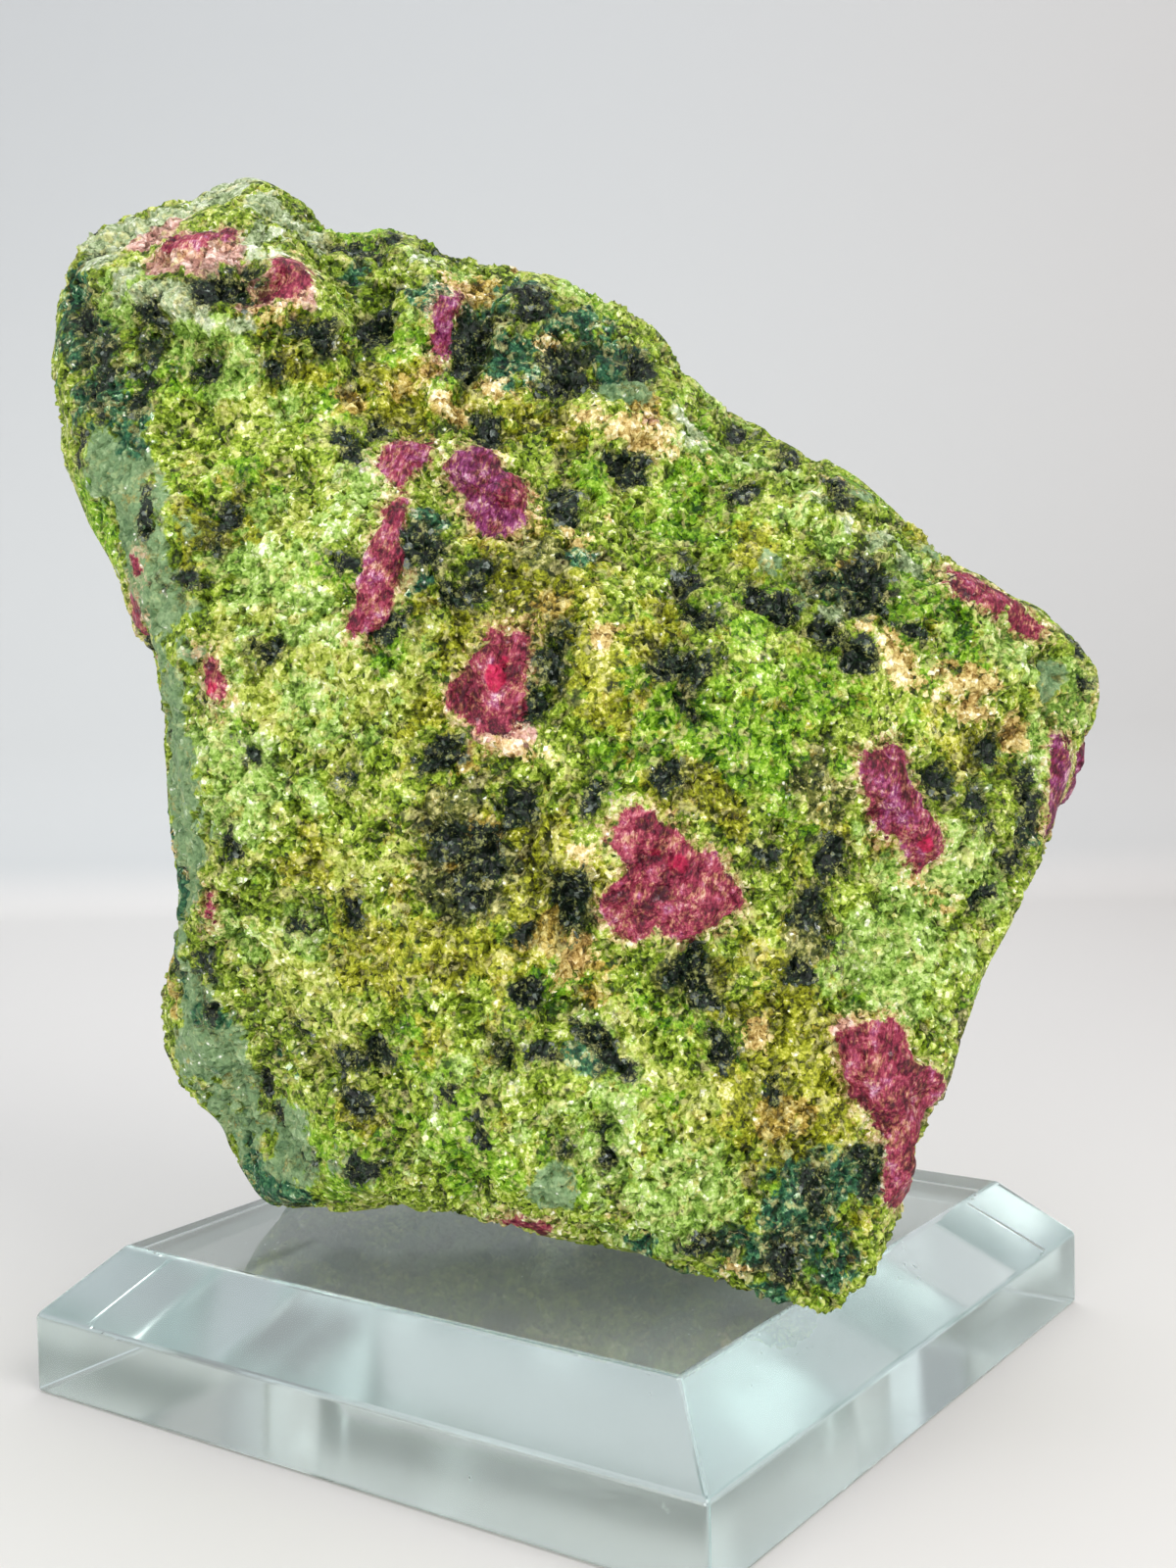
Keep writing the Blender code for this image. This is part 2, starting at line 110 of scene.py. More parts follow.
class Finish:
    # one material and its nodes
    def __init__(self, name):
        self.material = bpy.data.materials.new(name)
        self.material.use_nodes = True
        self.tree = self.material.node_tree
        self.tree.nodes.clear()
        self.place = self.node("ShaderNodeTexCoord").outputs["Object"]

    def node(self, kind, settings=None, sockets=None):
        made = self.tree.nodes.new(kind)
        for key, value in (settings or {}).items():
            if key == "stops":
                ramp = made.color_ramp.elements
                while len(ramp) < len(value):
                    ramp.new(1.0)
                for stop, (where, colour) in zip(ramp, value):
                    stop.position = where
                    stop.color = colour
            else:
                setattr(made, key, value)
        for key, value in (sockets or {}).items():
            if isinstance(value, Value):
                value = value.socket
            if isinstance(value, bpy.types.NodeSocket):
                self.tree.links.new(value, made.inputs[key])
            else:
                made.inputs[key].default_value = value
        return made

    def sum(self, operation, first, second):
        made = self.node("ShaderNodeMath", {"operation": operation}, {0: first, 1: second})
        return Value(self, made.outputs[0])

    def within(self, value, low, high, start=0.0, end=1.0):
        # value's place between low and high, eased at both ends
        made = self.node("ShaderNodeMapRange", {"interpolation_type": "SMOOTHSTEP"},
                         {"Value": value, "From Min": low, "From Max": high, "To Min": start, "To Max": end})
        return Value(self, made.outputs["Result"])

    def attribute(self, name):
        made = self.node("ShaderNodeAttribute", {"attribute_name": name})
        return Value(self, made.outputs["Fac"])

    def vector(self, operation, first, second):
        made = self.node("ShaderNodeVectorMath", {"operation": operation}, {0: first, 1: second})
        return made.outputs["Value" if operation == "DOT_PRODUCT" else "Vector"]

    def height(self):
        # how far up the piece the place is, in metres
        return Value(self, self.node("ShaderNodeSeparateXYZ", {}, {"Vector": self.place}).outputs["Z"])

    def cloud(self, size, detail, rough, place=None):
        # soft noise from 0 to 1 whose lumps are about size across, in metres
        made = self.node("ShaderNodeTexNoise", {"noise_dimensions": "3D"},
                         {"Vector": place or self.place, "Scale": 1 / size, "Detail": detail,
                          "Roughness": rough})
        return Value(self, made.outputs["Fac"])

    def warped(self, size, reach):
        # the place, pushed about by a cloud, so that a pattern drawn there wanders
        push = self.node("ShaderNodeTexNoise", {}, {"Vector": self.place, "Scale": 1 / size, "Detail": 1.0})
        centred = self.vector("SUBTRACT", push.outputs["Color"], (0.5, 0.5, 0.5))
        return self.vector("ADD", self.place, self.vector("MULTIPLY", centred, (2 * reach,) * 3))

    def facets(self, size, reach):
        # a rock of small crystals: each one's own number, its distance from the middle and, for a bump,
        # a flat face that leans its own way
        place = self.warped(1.6 * size, reach)
        cell = self.node("ShaderNodeTexVoronoi", {}, {"Vector": place, "Scale": 1 / size})
        gap = self.vector("SUBTRACT", place, cell.outputs["Position"])
        lean = self.vector("SUBTRACT", cell.outputs["Color"], (0.5, 0.5, 0.5))
        face = Value(self, self.vector("DOT_PRODUCT", gap, lean))
        own = self.node("ShaderNodeSeparateColor", {}, {"Color": cell.outputs["Color"]})
        return Value(self, own.outputs[1]), Value(self, cell.outputs["Distance"]), face * (2 / size)

    def along(self, way, stretch):
        # the place, drawn out along one direction
        turn = Vector(way).to_track_quat("Z", "Y").to_euler()
        made = self.node("ShaderNodeMapping", {"vector_type": "TEXTURE"},
                         {"Vector": self.place, "Rotation": turn, "Scale": (1.0, 1.0, stretch)})
        return made.outputs[0]

    def ramp(self, value, stops):
        made = self.node("ShaderNodeValToRGB", {"stops": stops}, {"Fac": value})
        return made.outputs["Color"]

    def mix(self, share, first, second):
        made = self.node("ShaderNodeMix", {"data_type": "RGBA"}, {0: share, 6: first, 7: second})
        return made.outputs[2]

    def bump(self, height, depth, strength):
        made = self.node("ShaderNodeBump", {}, {"Height": height, "Distance": depth, "Strength": strength})
        return made.outputs["Normal"]

    def surface(self, sockets, volume=None):
        shader = self.node("ShaderNodeBsdfPrincipled", {}, sockets)
        links = {"Surface": shader.outputs[0]}
        if volume:
            links["Volume"] = volume
        self.node("ShaderNodeOutputMaterial", {}, links)
        return self.material


camera = {
    "place": (0.1135, -0.1598, 0.0732),
    "yaw": -34.85,        # degrees, anticlockwise from +Y
    "pitch": 3.75,        # degrees below level
    "roll": -1.2,
    "focal": 1900.0,      # in pixels
    "frame": (1200, 1600),
    "sensor": 36.0,       # in millimetres, along the frame's longer side
    "nearest": 0.01,
}


def turned(across, upward, angle):
    # two directions at right angles, turned about the third by an angle in degrees
    t = math.radians(angle)
    return across * math.cos(t) + upward * math.sin(t), upward * math.cos(t) - across * math.sin(t)


def cameraAxes():
    yaw, pitch = math.radians(camera["yaw"]), math.radians(camera["pitch"])
    ahead = np.array([math.sin(yaw) * math.cos(pitch), math.cos(yaw) * math.cos(pitch), -math.sin(pitch)])
    level = np.array([math.cos(yaw), -math.sin(yaw), 0.0])
    right, up = turned(level, np.cross(level, ahead), camera["roll"])
    return right, up, ahead


def makeCamera():
    right, up, ahead = cameraAxes()
    data = bpy.data.cameras.new("camera")
    data.sensor_width = camera["sensor"]
    data.lens = camera["sensor"] * camera["focal"] / camera["frame"][1]
    data.clip_start = camera["nearest"]
    seen = bpy.data.objects.new("camera", data)
    turn = Matrix((right, up, -ahead)).transposed().to_4x4()
    seen.matrix_world = Matrix.Translation(camera["place"]) @ turn
    bpy.context.scene.collection.objects.link(seen)
    bpy.context.scene.camera = seen


def sightLine(across, down):
    right, up, ahead = cameraAxes()
    wide, tall = camera["frame"]
    way = ahead + right * (across - wide / 2) / camera["focal"] - up * (down - tall / 2) / camera["focal"]
    return Vector(camera["place"]), Vector(way).normalized()


makeCamera()


stone = {
    "turn": 35.0,             # degrees, how far the stone's broad face is turned on its base
    "cell": 0.38 * mm,        # size of the surface's mesh
    "soften": 20,             # rounds of smoothing that take the flat faces of the solid away
    "sink": 0.4 * mm,         # the surface's middle lies this far under the crystals' tips
    "lumps": (8.0, 0.8),      # size and height of the broad lumps, in millimetres
    "chips": (2.6, 0.42),
    "crystals": (1.25, 0.5, 0.26),     # size in millimetres, lean of the faces, and how uneven they stand
    "sugar": (0.76, 0.4, 0.1),
    "blades": (1.0, 0.5, 0.3),         # the same for hornblende
    "fibres": (0.75, 0.3, 0.1, 5.0),   # and for ruby, with how many times longer than wide they are
    "groove": 0.1,            # depth of the seams between crystals
    "grooveWidth": 0.22,      # as a share of a crystal
    "ridgeDrift": 0.8 * mm,   # how far ridges and crystals wander from their plan
    "drift": 0.5 * mm,
    "rubyProud": 0.2,         # ruby stands this much above the zoisite, and hornblende this much below
    "darkSunk": 0.4,
    "relief": (-1.1, 0.4),    # relief that counts as low and as high for the painted shade in hollows and painted light on high places
    "seed": 7,
}

# Crystals on the broad face: where the camera sees them, width and height in millimetres, turn in
# degrees, and how purple the crystal is. What is 0 may be left out at the end.
rubies = {
    "knobPatch": (184, 244, 4.8, 2.4, -8, 0.1),
    "knobDark": (224, 236, 2.8, 2.6, 0, 0.5),
    "knobSmall": (296, 274, 3.4, 4.6, 20, 0.2),
    "knobFoot": (284, 294, 3.6, 1.8, 10, 0.1),
    "crest": (455, 326, 2.4, 6.6, -10, 0.7),
    "upperLeft": (413, 462, 4.0, 5.6, -40, 0.5),
    "upperRight": (495, 494, 5.6, 9.2, 33, 0.8),
    "upperRightFoot": (512, 502, 4.8, 5.2, 15, 0.6),
    "sliver": (383, 594, 3.8, 9.6, -15, 0.4),
    "sliverTip": (398, 532, 2.2, 6.0, -12, 0.4),
    "pocket": (509, 694, 4.6, 9.8, -6, 0.3),
    "pocketSide": (482, 710, 4.6, 4.6, -35, 0.2),
    "pocketHeart": (496, 702, 5.6, 6.8, -18, 0.3),
    "leftSpeck": (138, 580, 1.2, 1.8, 0, 0.4),
    "leftEdge": (139, 632, 1.5, 4.0, 8, 0.3),
    "leftUpper": (213, 692, 2.6, 4.8, 20, 0.2),
    "leftLow": (207, 930, 1.1, 2.8, 5, 0.3),
    "middleBar": (669, 868, 5.2, 8.6, 50, 0.2),
    "middleBlock": (722, 910, 5.4, 6.8, 35, 0.3),
    "middleLobe": (650, 924, 5.6, 6.4, -50, 0.3),
    "middleHeart": (685, 910, 9.2, 7.0, -35, 0.3),
    "rightBlock": (914, 808, 5.2, 9.0, 18, 0.6),
    "rightFoot": (938, 850, 4.4, 6.6, 30, 0.5),
    "rightEdge": (1082, 800, 2.6, 9.0, -6, 0.8),
    "topEdge": (1002, 602, 6.4, 2.8, -28, 0.3),
    "topEdgeFoot": (1046, 630, 4.4, 2.4, -34, 0.3),
    "lowerUpper": (898, 1086, 6.8, 8.2, 18, 0.3),
    "lowerMiddle": (930, 1128, 6.6, 7.6, -20, 0.4),
    "lowerFoot": (925, 1192, 3.6, 8.4, 2, 0.4),
    "bottomEdge": (536, 1252, 4.2, 1.6, -4, 0.1),
}
# Glassy, brighter red places inside the rubies.
brightReds = [
    (693, 882, 1.9, 1.7), (505, 690, 2.2, 2.8), (212, 702, 1.3, 1.5), (946, 862, 1.4, 1.8, 20),
    (517, 672, 1.0, 1.6), (668, 872, 1.1, 0.9),
]
hornblendes = [
    (143, 317, 3.4, 3.8), (88, 258, 2.4, 2.2), (222, 290, 6.6, 4.0), (247, 272, 3.2, 2.2),
    (322, 333, 4.2, 2.6, 10), (332, 350, 3.0, 3.0), (208, 383, 2.2, 3.4, -10), (283, 379, 2.2, 1.8),
    (386, 330, 2.0, 6.4, -18), (383, 249, 4.6, 1.8), (453, 253, 3.5, 2.0), (543, 305, 4.6, 4.8, 15),
    (480, 345, 2.8, 6.2, -12), (574, 378, 4.6, 5.2, 20), (497, 437, 3.0, 3.8), (356, 456, 2.8, 3.8),
    (388, 433, 1.9, 2.2), (432, 553, 4.6, 4.2), (465, 601, 3.2, 3.2), (488, 590, 2.2, 3.6),
    (398, 638, 3.2, 2.2, 20), (268, 662, 3.4, 2.8, 30), (184, 590, 3.6, 2.0, 10),
    (216, 536, 2.0, 5.4, -15), (145, 529, 1.4, 3.6), (140, 392, 1.6, 4.2, -5), (350, 574, 1.9, 1.6),
    (638, 474, 3.6, 3.0), (763, 502, 3.6, 2.4), (656, 368, 4.2, 3.8, 20), (757, 433, 2.6, 1.8),
    (808, 462, 2.6, 2.2), (853, 493, 2.8, 2.2, -30), (866, 511, 2.4, 2.4), (893, 580, 5.6, 3.6, -20),
    (880, 608, 4.0, 3.6), (833, 584, 2.8, 2.4), (705, 587, 2.0, 4.6, 10), (719, 620, 2.4, 2.2),
    (795, 612, 5.6, 2.0, -22), (838, 640, 4.2, 2.2, -30), (879, 671, 3.4, 3.6), (692, 672, 5.6, 3.0, 5),
    (703, 720, 2.6, 2.4), (1098, 656, 1.8, 2.2), (1116, 698, 1.6, 2.6), (578, 515, 3.0, 3.4),
    (560, 676, 2.8, 6.4, -5), (548, 712, 2.6, 3.4), (524, 823, 2.8, 3.0), (607, 819, 1.9, 3.2, -20),
    (678, 790, 3.0, 2.6), (777, 868, 2.6, 2.4), (964, 796, 2.8, 2.4), (998, 820, 2.4, 4.8, 15),
    (1051, 832, 2.4, 6.2, -5), (1029, 879, 2.2, 2.0), (1004, 921, 3.0, 2.6, 20), (578, 910, 4.2, 4.0),
    (584, 942, 3.0, 3.4), (853, 872, 2.3, 3.4, 25), (826, 935, 2.2, 4.6), (819, 988, 2.8, 2.4),
    (708, 990, 4.2, 4.2), (724, 1016, 2.4, 2.6), (848, 966, 2.0, 2.6, 20), (540, 1016, 3.4, 3.2),
    (737, 1064, 2.6, 3.2), (560, 1075, 2.6, 2.0), (604, 1058, 3.4, 3.2, 20), (628, 1084, 3.4, 2.2, -30),
    (786, 1113, 2.4, 2.2), (888, 1188, 2.4, 3.6), (888, 1218, 2.4, 2.4), (830, 1222, 2.0, 4.6, 10),
    (716, 1272, 3.2, 3.0), (800, 1290, 4.2, 4.4, 20), (571, 1171, 1.8, 2.0), (618, 1171, 1.1, 2.8),
    (531, 957, 1.3, 1.3), (449, 770, 4.4, 2.8, 15), (458, 862, 4.2, 5.2, 20), (490, 874, 4.4, 5.0, -20),
    (475, 908, 3.0, 4.4, 10), (252, 770, 1.4, 1.4), (348, 790, 1.8, 1.8), (232, 868, 1.6, 3.4, 10),
    (362, 930, 1.8, 3.2), (301, 944, 1.7, 1.6), (201, 984, 1.6, 2.6), (212, 1033, 1.4, 2.4),
    (308, 1062, 1.4, 2.3), (350, 1087, 3.7, 2.2, 10), (384, 1073, 2.8, 2.6), (366, 1129, 3.5, 2.2),
    (509, 1078, 1.8, 3.0), (458, 1116, 1.5, 1.5), (317, 1189, 2.4, 1.4), (370, 1198, 2.6, 3.6),
    (489, 1154, 1.3, 3.4), (268, 1109, 1.2, 2.3), (281, 1138, 1.8, 1.8), (85, 352, 1.6, 4.6),
    (92, 402, 1.8, 3.6, 10), (78, 455, 1.6, 3.0), (80, 322, 2.0, 4.4), (104, 372, 2.2, 5.2, 8),
    (1012, 764, 2.2, 1.8), (935, 640, 2.4, 1.8), (690, 930, 1.3, 1.3),
]
tanPatches = [
    (656, 442, 9.6, 2.8, -12), (600, 424, 2.6, 2.0), (607, 542, 3.6, 1.9, 15), (615, 645, 1.9, 2.4),
    (912, 676, 6.0, 3.6, -15), (975, 698, 8.0, 3.4, -8), (589, 972, 2.8, 4.0, -25),
    (772, 1060, 3.2, 2.6), (525, 758, 3.6, 1.8, -15), (905, 650, 3.0, 2.0, -20),
    (1000, 722, 6.0, 2.4, -30), (1034, 748, 3.4, 1.8, -40), (935, 692, 5.0, 2.6, -20),
    (596, 880, 1.6, 2.0, 20), (272, 312, 3.6, 2.0, 20), (505, 396, 3.6, 2.4), (850, 486, 2.6, 1.8, -30),
    (560, 352, 2.6, 1.8), (950, 905, 2.8, 1.2, -25), (627, 1247, 2.6, 2.0), (460, 412, 3.4, 2.0, -20),
    (540, 516, 2.2, 3.0), (744, 1300, 2.0, 1.4), (470, 290, 3.4, 1.6),
]
# Soft patches of colour in the green rock, some of them painted shade, haze and light as said below: where
# the camera sees them, radius in millimetres and strength.
patches = {
    "lime": [
        (300, 520, 7, 0.6), (300, 690, 9, 1), (330, 760, 9, 0.7), (290, 860, 10, 0.6), (250, 400, 6, 0.5),
        (270, 600, 7, 0.6), (420, 690, 5, 0.9), (380, 720, 6, 0.8), (330, 1030, 8, 0.8),
        (700, 1150, 7, 0.7), (400, 960, 6, 0.5), (560, 780, 4, 0.4), (660, 470, 4, 0.5),
        (640, 1050, 4, 0.5)],
    "pale": [
        (120, 290, 5, 0.9), (200, 370, 6, 0.9), (860, 532, 4, 0.8), (940, 580, 4, 0.8), (1040, 668, 4, 0.7),
        (1010, 760, 3, 0.7), (1104, 716, 4, 1.1), (1096, 690, 3, 1), (260, 560, 7, 0.8), (290, 780, 7, 0.6),
        (1060, 760, 4, 0.8), (985, 890, 5, 0.9), (300, 960, 6, 0.5), (600, 1130, 8, 0.7),
        (700, 1190, 8, 0.7), (930, 900, 6, 1), (310, 700, 9, 0.6), (440, 270, 6, 0.7), (360, 500, 6, 0.7),
        (740, 460, 7, 0.8), (920, 970, 7, 1), (640, 1240, 7, 0.7), (700, 1010, 4, 0.3), (590, 300, 6, 0.6),
        (230, 800, 7, 0.8), (240, 950, 7, 0.6), (980, 870, 5, 0.8), (900, 1020, 5, 0.8), (250, 700, 7, 0.6),
        (470, 1130, 7, 0.5), (820, 500, 5, 0.6)],
    "vivid": [
        (800, 730, 9, 1), (740, 730, 8, 1), (770, 640, 6, 0.7), (700, 520, 7, 0.8), (620, 340, 5, 0.6),
        (720, 430, 5, 0.6), (590, 480, 5, 0.7), (540, 1000, 5, 0.6), (940, 620, 8, 0.9), (660, 760, 7, 0.8),
        (420, 640, 5, 0.6), (840, 960, 5, 0.6), (420, 360, 6, 0.9), (480, 1180, 7, 0.8),
        (340, 1180, 8, 0.7), (350, 600, 5, 0.6), (840, 540, 5, 0.5), (560, 840, 4, 0.5),
        (570, 1180, 6, 0.6), (230, 500, 6, 0.6), (640, 690, 7, 0.7), (860, 1250, 5, 0.8),
        (420, 1090, 6, 0.6), (150, 380, 5, 0.6), (700, 1080, 5, 0.5), (780, 900, 5, 0.5),
        (330, 390, 6, 0.5), (500, 620, 4, 0.4)],
    "olive": [
        (560, 600, 7, 1), (520, 560, 6, 0.6), (520, 420, 6, 0.8), (400, 400, 6, 0.6), (700, 800, 7, 0.6),
        (760, 560, 6, 0.6), (820, 1040, 8, 0.9), (850, 1130, 7, 0.8), (500, 960, 8, 0.8),
        (400, 960, 9, 0.9), (560, 900, 7, 0.8), (790, 1140, 7, 0.9), (1000, 740, 6, 0.8),
        (600, 700, 6, 0.7), (360, 1130, 5, 0.5), (840, 850, 5, 0.5), (780, 980, 6, 0.7), (470, 840, 7, 0.9),
        (300, 370, 5, 0.5), (560, 440, 5, 0.6), (330, 870, 6, 0.6), (660, 660, 5, 0.5), (470, 780, 6, 0.8),
        (215, 530, 5, 0.7), (480, 640, 5, 0.7)],
    # dark olive-brown: partly the rock's own beside the hornblende, partly painted shade in the hollows
    "umber": [
        (480, 870, 6, 0.9), (460, 910, 4, 0.7), (870, 590, 5, 0.9), (800, 605, 4, 0.7), (500, 320, 4, 0.7),
        (560, 300, 4, 0.6), (580, 370, 4, 0.6), (150, 330, 4, 0.5), (705, 1000, 4, 0.7), (830, 960, 4, 0.6),
        (440, 560, 4, 0.5), (570, 690, 4, 0.6), (700, 690, 4, 0.6), (210, 290, 4, 0.6), (330, 345, 3, 0.6),
        (590, 925, 3, 0.6), (550, 560, 3.4, 0.7), (836, 800, 5, 0.6), (380, 330, 3, 0.6),
        (600, 1070, 4, 0.4), (400, 255, 4, 0.5), (680, 580, 3, 0.5), (490, 600, 3, 0.6), (800, 480, 3, 0.4),
        (540, 820, 3, 0.4)],
    "rust": [
        (800, 1140, 3, 0.7), (560, 610, 3, 0.6), (470, 770, 3, 0.5), (870, 570, 4, 0.7), (880, 650, 4, 0.8),
        (600, 1000, 4, 0.7), (430, 400, 4, 0.6), (480, 290, 4, 0.6), (640, 410, 4, 0.7), (560, 960, 4, 0.6),
        (350, 410, 4, 0.5), (480, 870, 4, 0.6), (730, 830, 3, 0.4)],
    # a hazy grey-green that is painted shade and haze: down the left flank that turns from the light, on the
    # underside and on some edges
    "mist": [
        (62, 250, 4, 0.9), (135, 540, 6, 1), (155, 610, 6, 1), (168, 690, 6.5, 1), (176, 770, 6.5, 1),
        (182, 860, 6.5, 1), (180, 940, 6.5, 1), (186, 1010, 6, 0.9), (206, 1080, 7, 1), (240, 1140, 7, 1),
        (280, 1190, 6, 0.8), (100, 470, 5, 0.9), (640, 370, 5, 0.7), (1078, 690, 3, 0.6),
        (1100, 656, 2.4, 0.8), (1040, 650, 3, 0.6), (290, 1160, 5, 0.8), (350, 1190, 4, 0.6),
        (820, 600, 4, 0.7), (780, 580, 3, 0.6), (560, 1220, 4, 0.5), (720, 1230, 4, 0.5),
        (880, 500, 4, 0.5), (960, 560, 4, 0.4), (1000, 800, 3, 0.5), (215, 900, 4, 0.4)],
    "blush": [
        (190, 242, 4.4, 1.1), (152, 236, 3.4, 1), (222, 252, 3.2, 1), (278, 288, 3, 0.9),
        (146, 232, 2.6, 0.9), (214, 262, 3, 0.8), (176, 222, 2.6, 0.7), (252, 262, 2.4, 0.5),
        (296, 300, 2.6, 0.9), (262, 306, 2.4, 0.7), (486, 738, 2.6, 0.8), (524, 752, 2.4, 0.7),
        (640, 830, 2.0, 0.6), (1030, 612, 2.6, 0.7), (872, 1056, 2.4, 0.6), (660, 436, 3, 0.5)],
    # a pale, washed green: partly the rock's frosted look, partly painted light on the knob's top and the
    # upper edges that face the light
    "frost": [
        (210, 206, 4, 1), (280, 214, 4, 1), (96, 262, 3.4, 1), (122, 280, 3, 1), (150, 296, 3, 1),
        (180, 311, 2.4, 1), (210, 322, 2.2, 0.9), (240, 330, 2.0, 0.8), (165, 204, 4, 1), (198, 194, 4, 1),
        (232, 190, 4, 1), (268, 200, 4, 1), (110, 232, 4, 0.9), (150, 222, 3, 1), (300, 220, 4, 0.9),
        (324, 240, 4, 0.8), (270, 240, 4, 0.8), (770, 468, 3, 0.5), (850, 618, 2, 0.7), (350, 262, 3, 0.6),
        (420, 262, 3, 0.6), (700, 440, 3, 0.6), (764, 472, 2.6, 0.6), (824, 500, 3, 0.5),
        (884, 540, 3, 0.6), (936, 566, 3, 0.5)],
    # deep teal green: the rock's own in the upper middle, painted shade on the left edge, along the bottom
    # and on the underside
    "teal": [
        (540, 290, 4, 0.8), (600, 330, 5, 0.8), (620, 360, 4, 0.7), (520, 370, 4, 0.7), (440, 530, 3, 0.6),
        (370, 270, 3, 0.6), (420, 590, 3, 0.6), (72, 330, 5, 1), (76, 370, 6, 1), (86, 400, 5, 0.9),
        (72, 300, 4, 1), (120, 440, 4, 0.7), (176, 985, 4, 0.9), (230, 1090, 3, 0.6), (600, 1075, 3, 0.6),
        (500, 340, 5, 0.8), (560, 330, 5, 0.7), (650, 350, 4, 0.8), (1050, 856, 2.6, 0.7),
        (150, 350, 4, 0.6), (830, 1246, 6, 0.9), (790, 1300, 5, 0.9), (880, 1200, 4, 0.8),
        (855, 1290, 4, 0.7), (440, 300, 4, 0.5), (860, 590, 4, 0.6), (300, 1090, 4, 0.5),
        (500, 1080, 4, 0.4), (210, 1040, 3, 0.6), (590, 560, 3, 0.4), (740, 1280, 4, 0.5)],
}
loose = ("lime", "pale", "vivid", "olive")      # kinds that turn up here and there in all of the rock
patchDrift = {"reach": 0.4, "size": 6.5 * mm, "layers": 5, "rough": 0.7, "edge": (0.25, 0.8)}
# Ridges, steps and dents too small for the solid: a line where the camera sees it, height and width in
# millimetres. A line of one point is a dent or a boss.
ridges = [
    ([(88, 268), (122, 284), (180, 311), (240, 328)], 0.9, 1.7), ([(222, 284), (262, 290)], -1.9, 3.6),
    ([(150, 216), (198, 196), (262, 186)], 0.5, 1.8), ([(386, 300), (378, 350), (362, 400)], -1.3, 2.4),
    ([(104, 318), (160, 344), (220, 366)], -0.8, 3.6), ([(148, 262), (176, 284)], -0.7, 2.6),
    ([(412, 300), (404, 352), (392, 404)], 0.6, 1.6), ([(318, 322), (352, 352)], -1.1, 3.0),
    ([(484, 330), (472, 396)], -1.6, 2.8), ([(584, 350), (560, 420)], -1.4, 3.2),
    ([(430, 398), (520, 398), (600, 424)], 0.5, 1.8), ([(436, 436), (516, 438), (636, 474)], -1.1, 2.8),
    ([(432, 553), (466, 600), (490, 590)], -1.2, 4.0), ([(562, 668), (556, 716)], -1.1, 3.4),
    ([(456, 860), (488, 884)], -1.1, 5.0), ([(578, 908), (584, 940)], -1.1, 3.4),
    ([(708, 988), (722, 1014)], -1.0, 3.4), ([(884, 584), (872, 612)], -1.5, 4.0),
    ([(656, 368)], -1.0, 3.6), ([(700, 600), (716, 622)], -0.8, 2.8),
    ([(692, 672), (704, 720)], -0.9, 2.6), ([(146, 312), (204, 372)], -0.9, 3.0),
    ([(268, 662)], -0.8, 2.8), ([(240, 480), (228, 560)], -0.8, 3.4),
    ([(604, 1058), (628, 1084)], -0.7, 2.6), ([(350, 1086), (384, 1074)], -0.7, 2.6),
    ([(296, 246), (300, 296), (270, 318)], 0.5, 2.0), ([(458, 330), (470, 300)], 0.5, 2.2),
    ([(500, 300), (488, 352), (470, 420)], -0.6, 2.0), ([(600, 414), (690, 440)], 0.6, 2.2),
    ([(420, 470), (500, 520), (560, 560)], -0.4, 2.6),
    ([(330, 676), (400, 706), (470, 742), (560, 770)], 0.5, 2.4),
    ([(340, 700), (420, 744), (500, 776)], -0.4, 2.4), ([(770, 596), (840, 628), (900, 664)], 0.8, 1.8),
    ([(764, 612), (832, 648), (890, 686)], -0.8, 1.8),
    ([(880, 690), (960, 708), (1040, 690)], 0.6, 2.2),
    ([(600, 862), (560, 920), (556, 1000)], 0.5, 2.2), ([(545, 880), (590, 960)], -0.6, 2.6),
    ([(470, 880)], -0.6, 5.0), ([(440, 770), (476, 800)], -0.5, 3.0),
    ([(870, 760), (852, 850)], -0.5, 2.4), ([(905, 790), (940, 880)], 0.4, 3.4),
    ([(700, 980), (720, 1040)], -0.6, 3.0), ([(206, 470), (212, 560)], -0.5, 2.4),
    ([(940, 500), (1010, 570), (1080, 640)], 0.4, 2.6),
    ([(830, 1000), (842, 1120), (870, 1200)], 0.4, 3.2), ([(800, 1270), (830, 1300)], -0.6, 3.4),
    ([(250, 430), (330, 470), (380, 540)], 0.4, 3.0), ([(600, 590), (680, 620), (740, 680)], 0.35, 3.0),
    ([(330, 1060), (380, 1090), (420, 1150)], -0.45, 3.2),
    ([(500, 1040), (620, 1070), (730, 1110)], 0.35, 3.4), ([(280, 900), (300, 1000)], 0.4, 3.4),
]
# Crystals on the sides and the back: place across, place up, width, height, turn, purple, and the
# side that they lie on, in millimetres from the stone's own middle.
rearRubies = [
    (14, 58, 11.5, 16.5, -30, 0.4, "rear"), (-18, 92, 7.0, 11.5, 25, 0.6, "rear"),
    (-30, 34, 6.0, 10.0, 60, 0.3, "rear"), (32, 68, 5.0, 7.6, 10, 0.7, "rear"),
    (-6, 36, 3.2, 12.0, -70, 0.4, "rear"), (-9, 60.5, 6.0, 8.6, 10, 0.8, "right"),
    (-6, 78, 4.8, 4.8, 0, 0.4, "left"), (4, 40, 3.0, 6.0, 20, 0.3, "right"),
    (8, 96, 3.4, 5.2, -20, 0.5, "left"), (-2, 100, 3.0, 4.0, 0, 0.4, "rear"),
    (22, 84, 2.4, 4.4, 30, 0.5, "rear"), (6, 54, 2.6, 4.0, 40, 0.5, "left"),
]
rearDark = {"count": 150, "small": 1.3, "large": 5.6, "spacing": 4.4}
rearTan = {"count": 32, "small": 1.8, "large": 6.0, "spacing": 7.0}
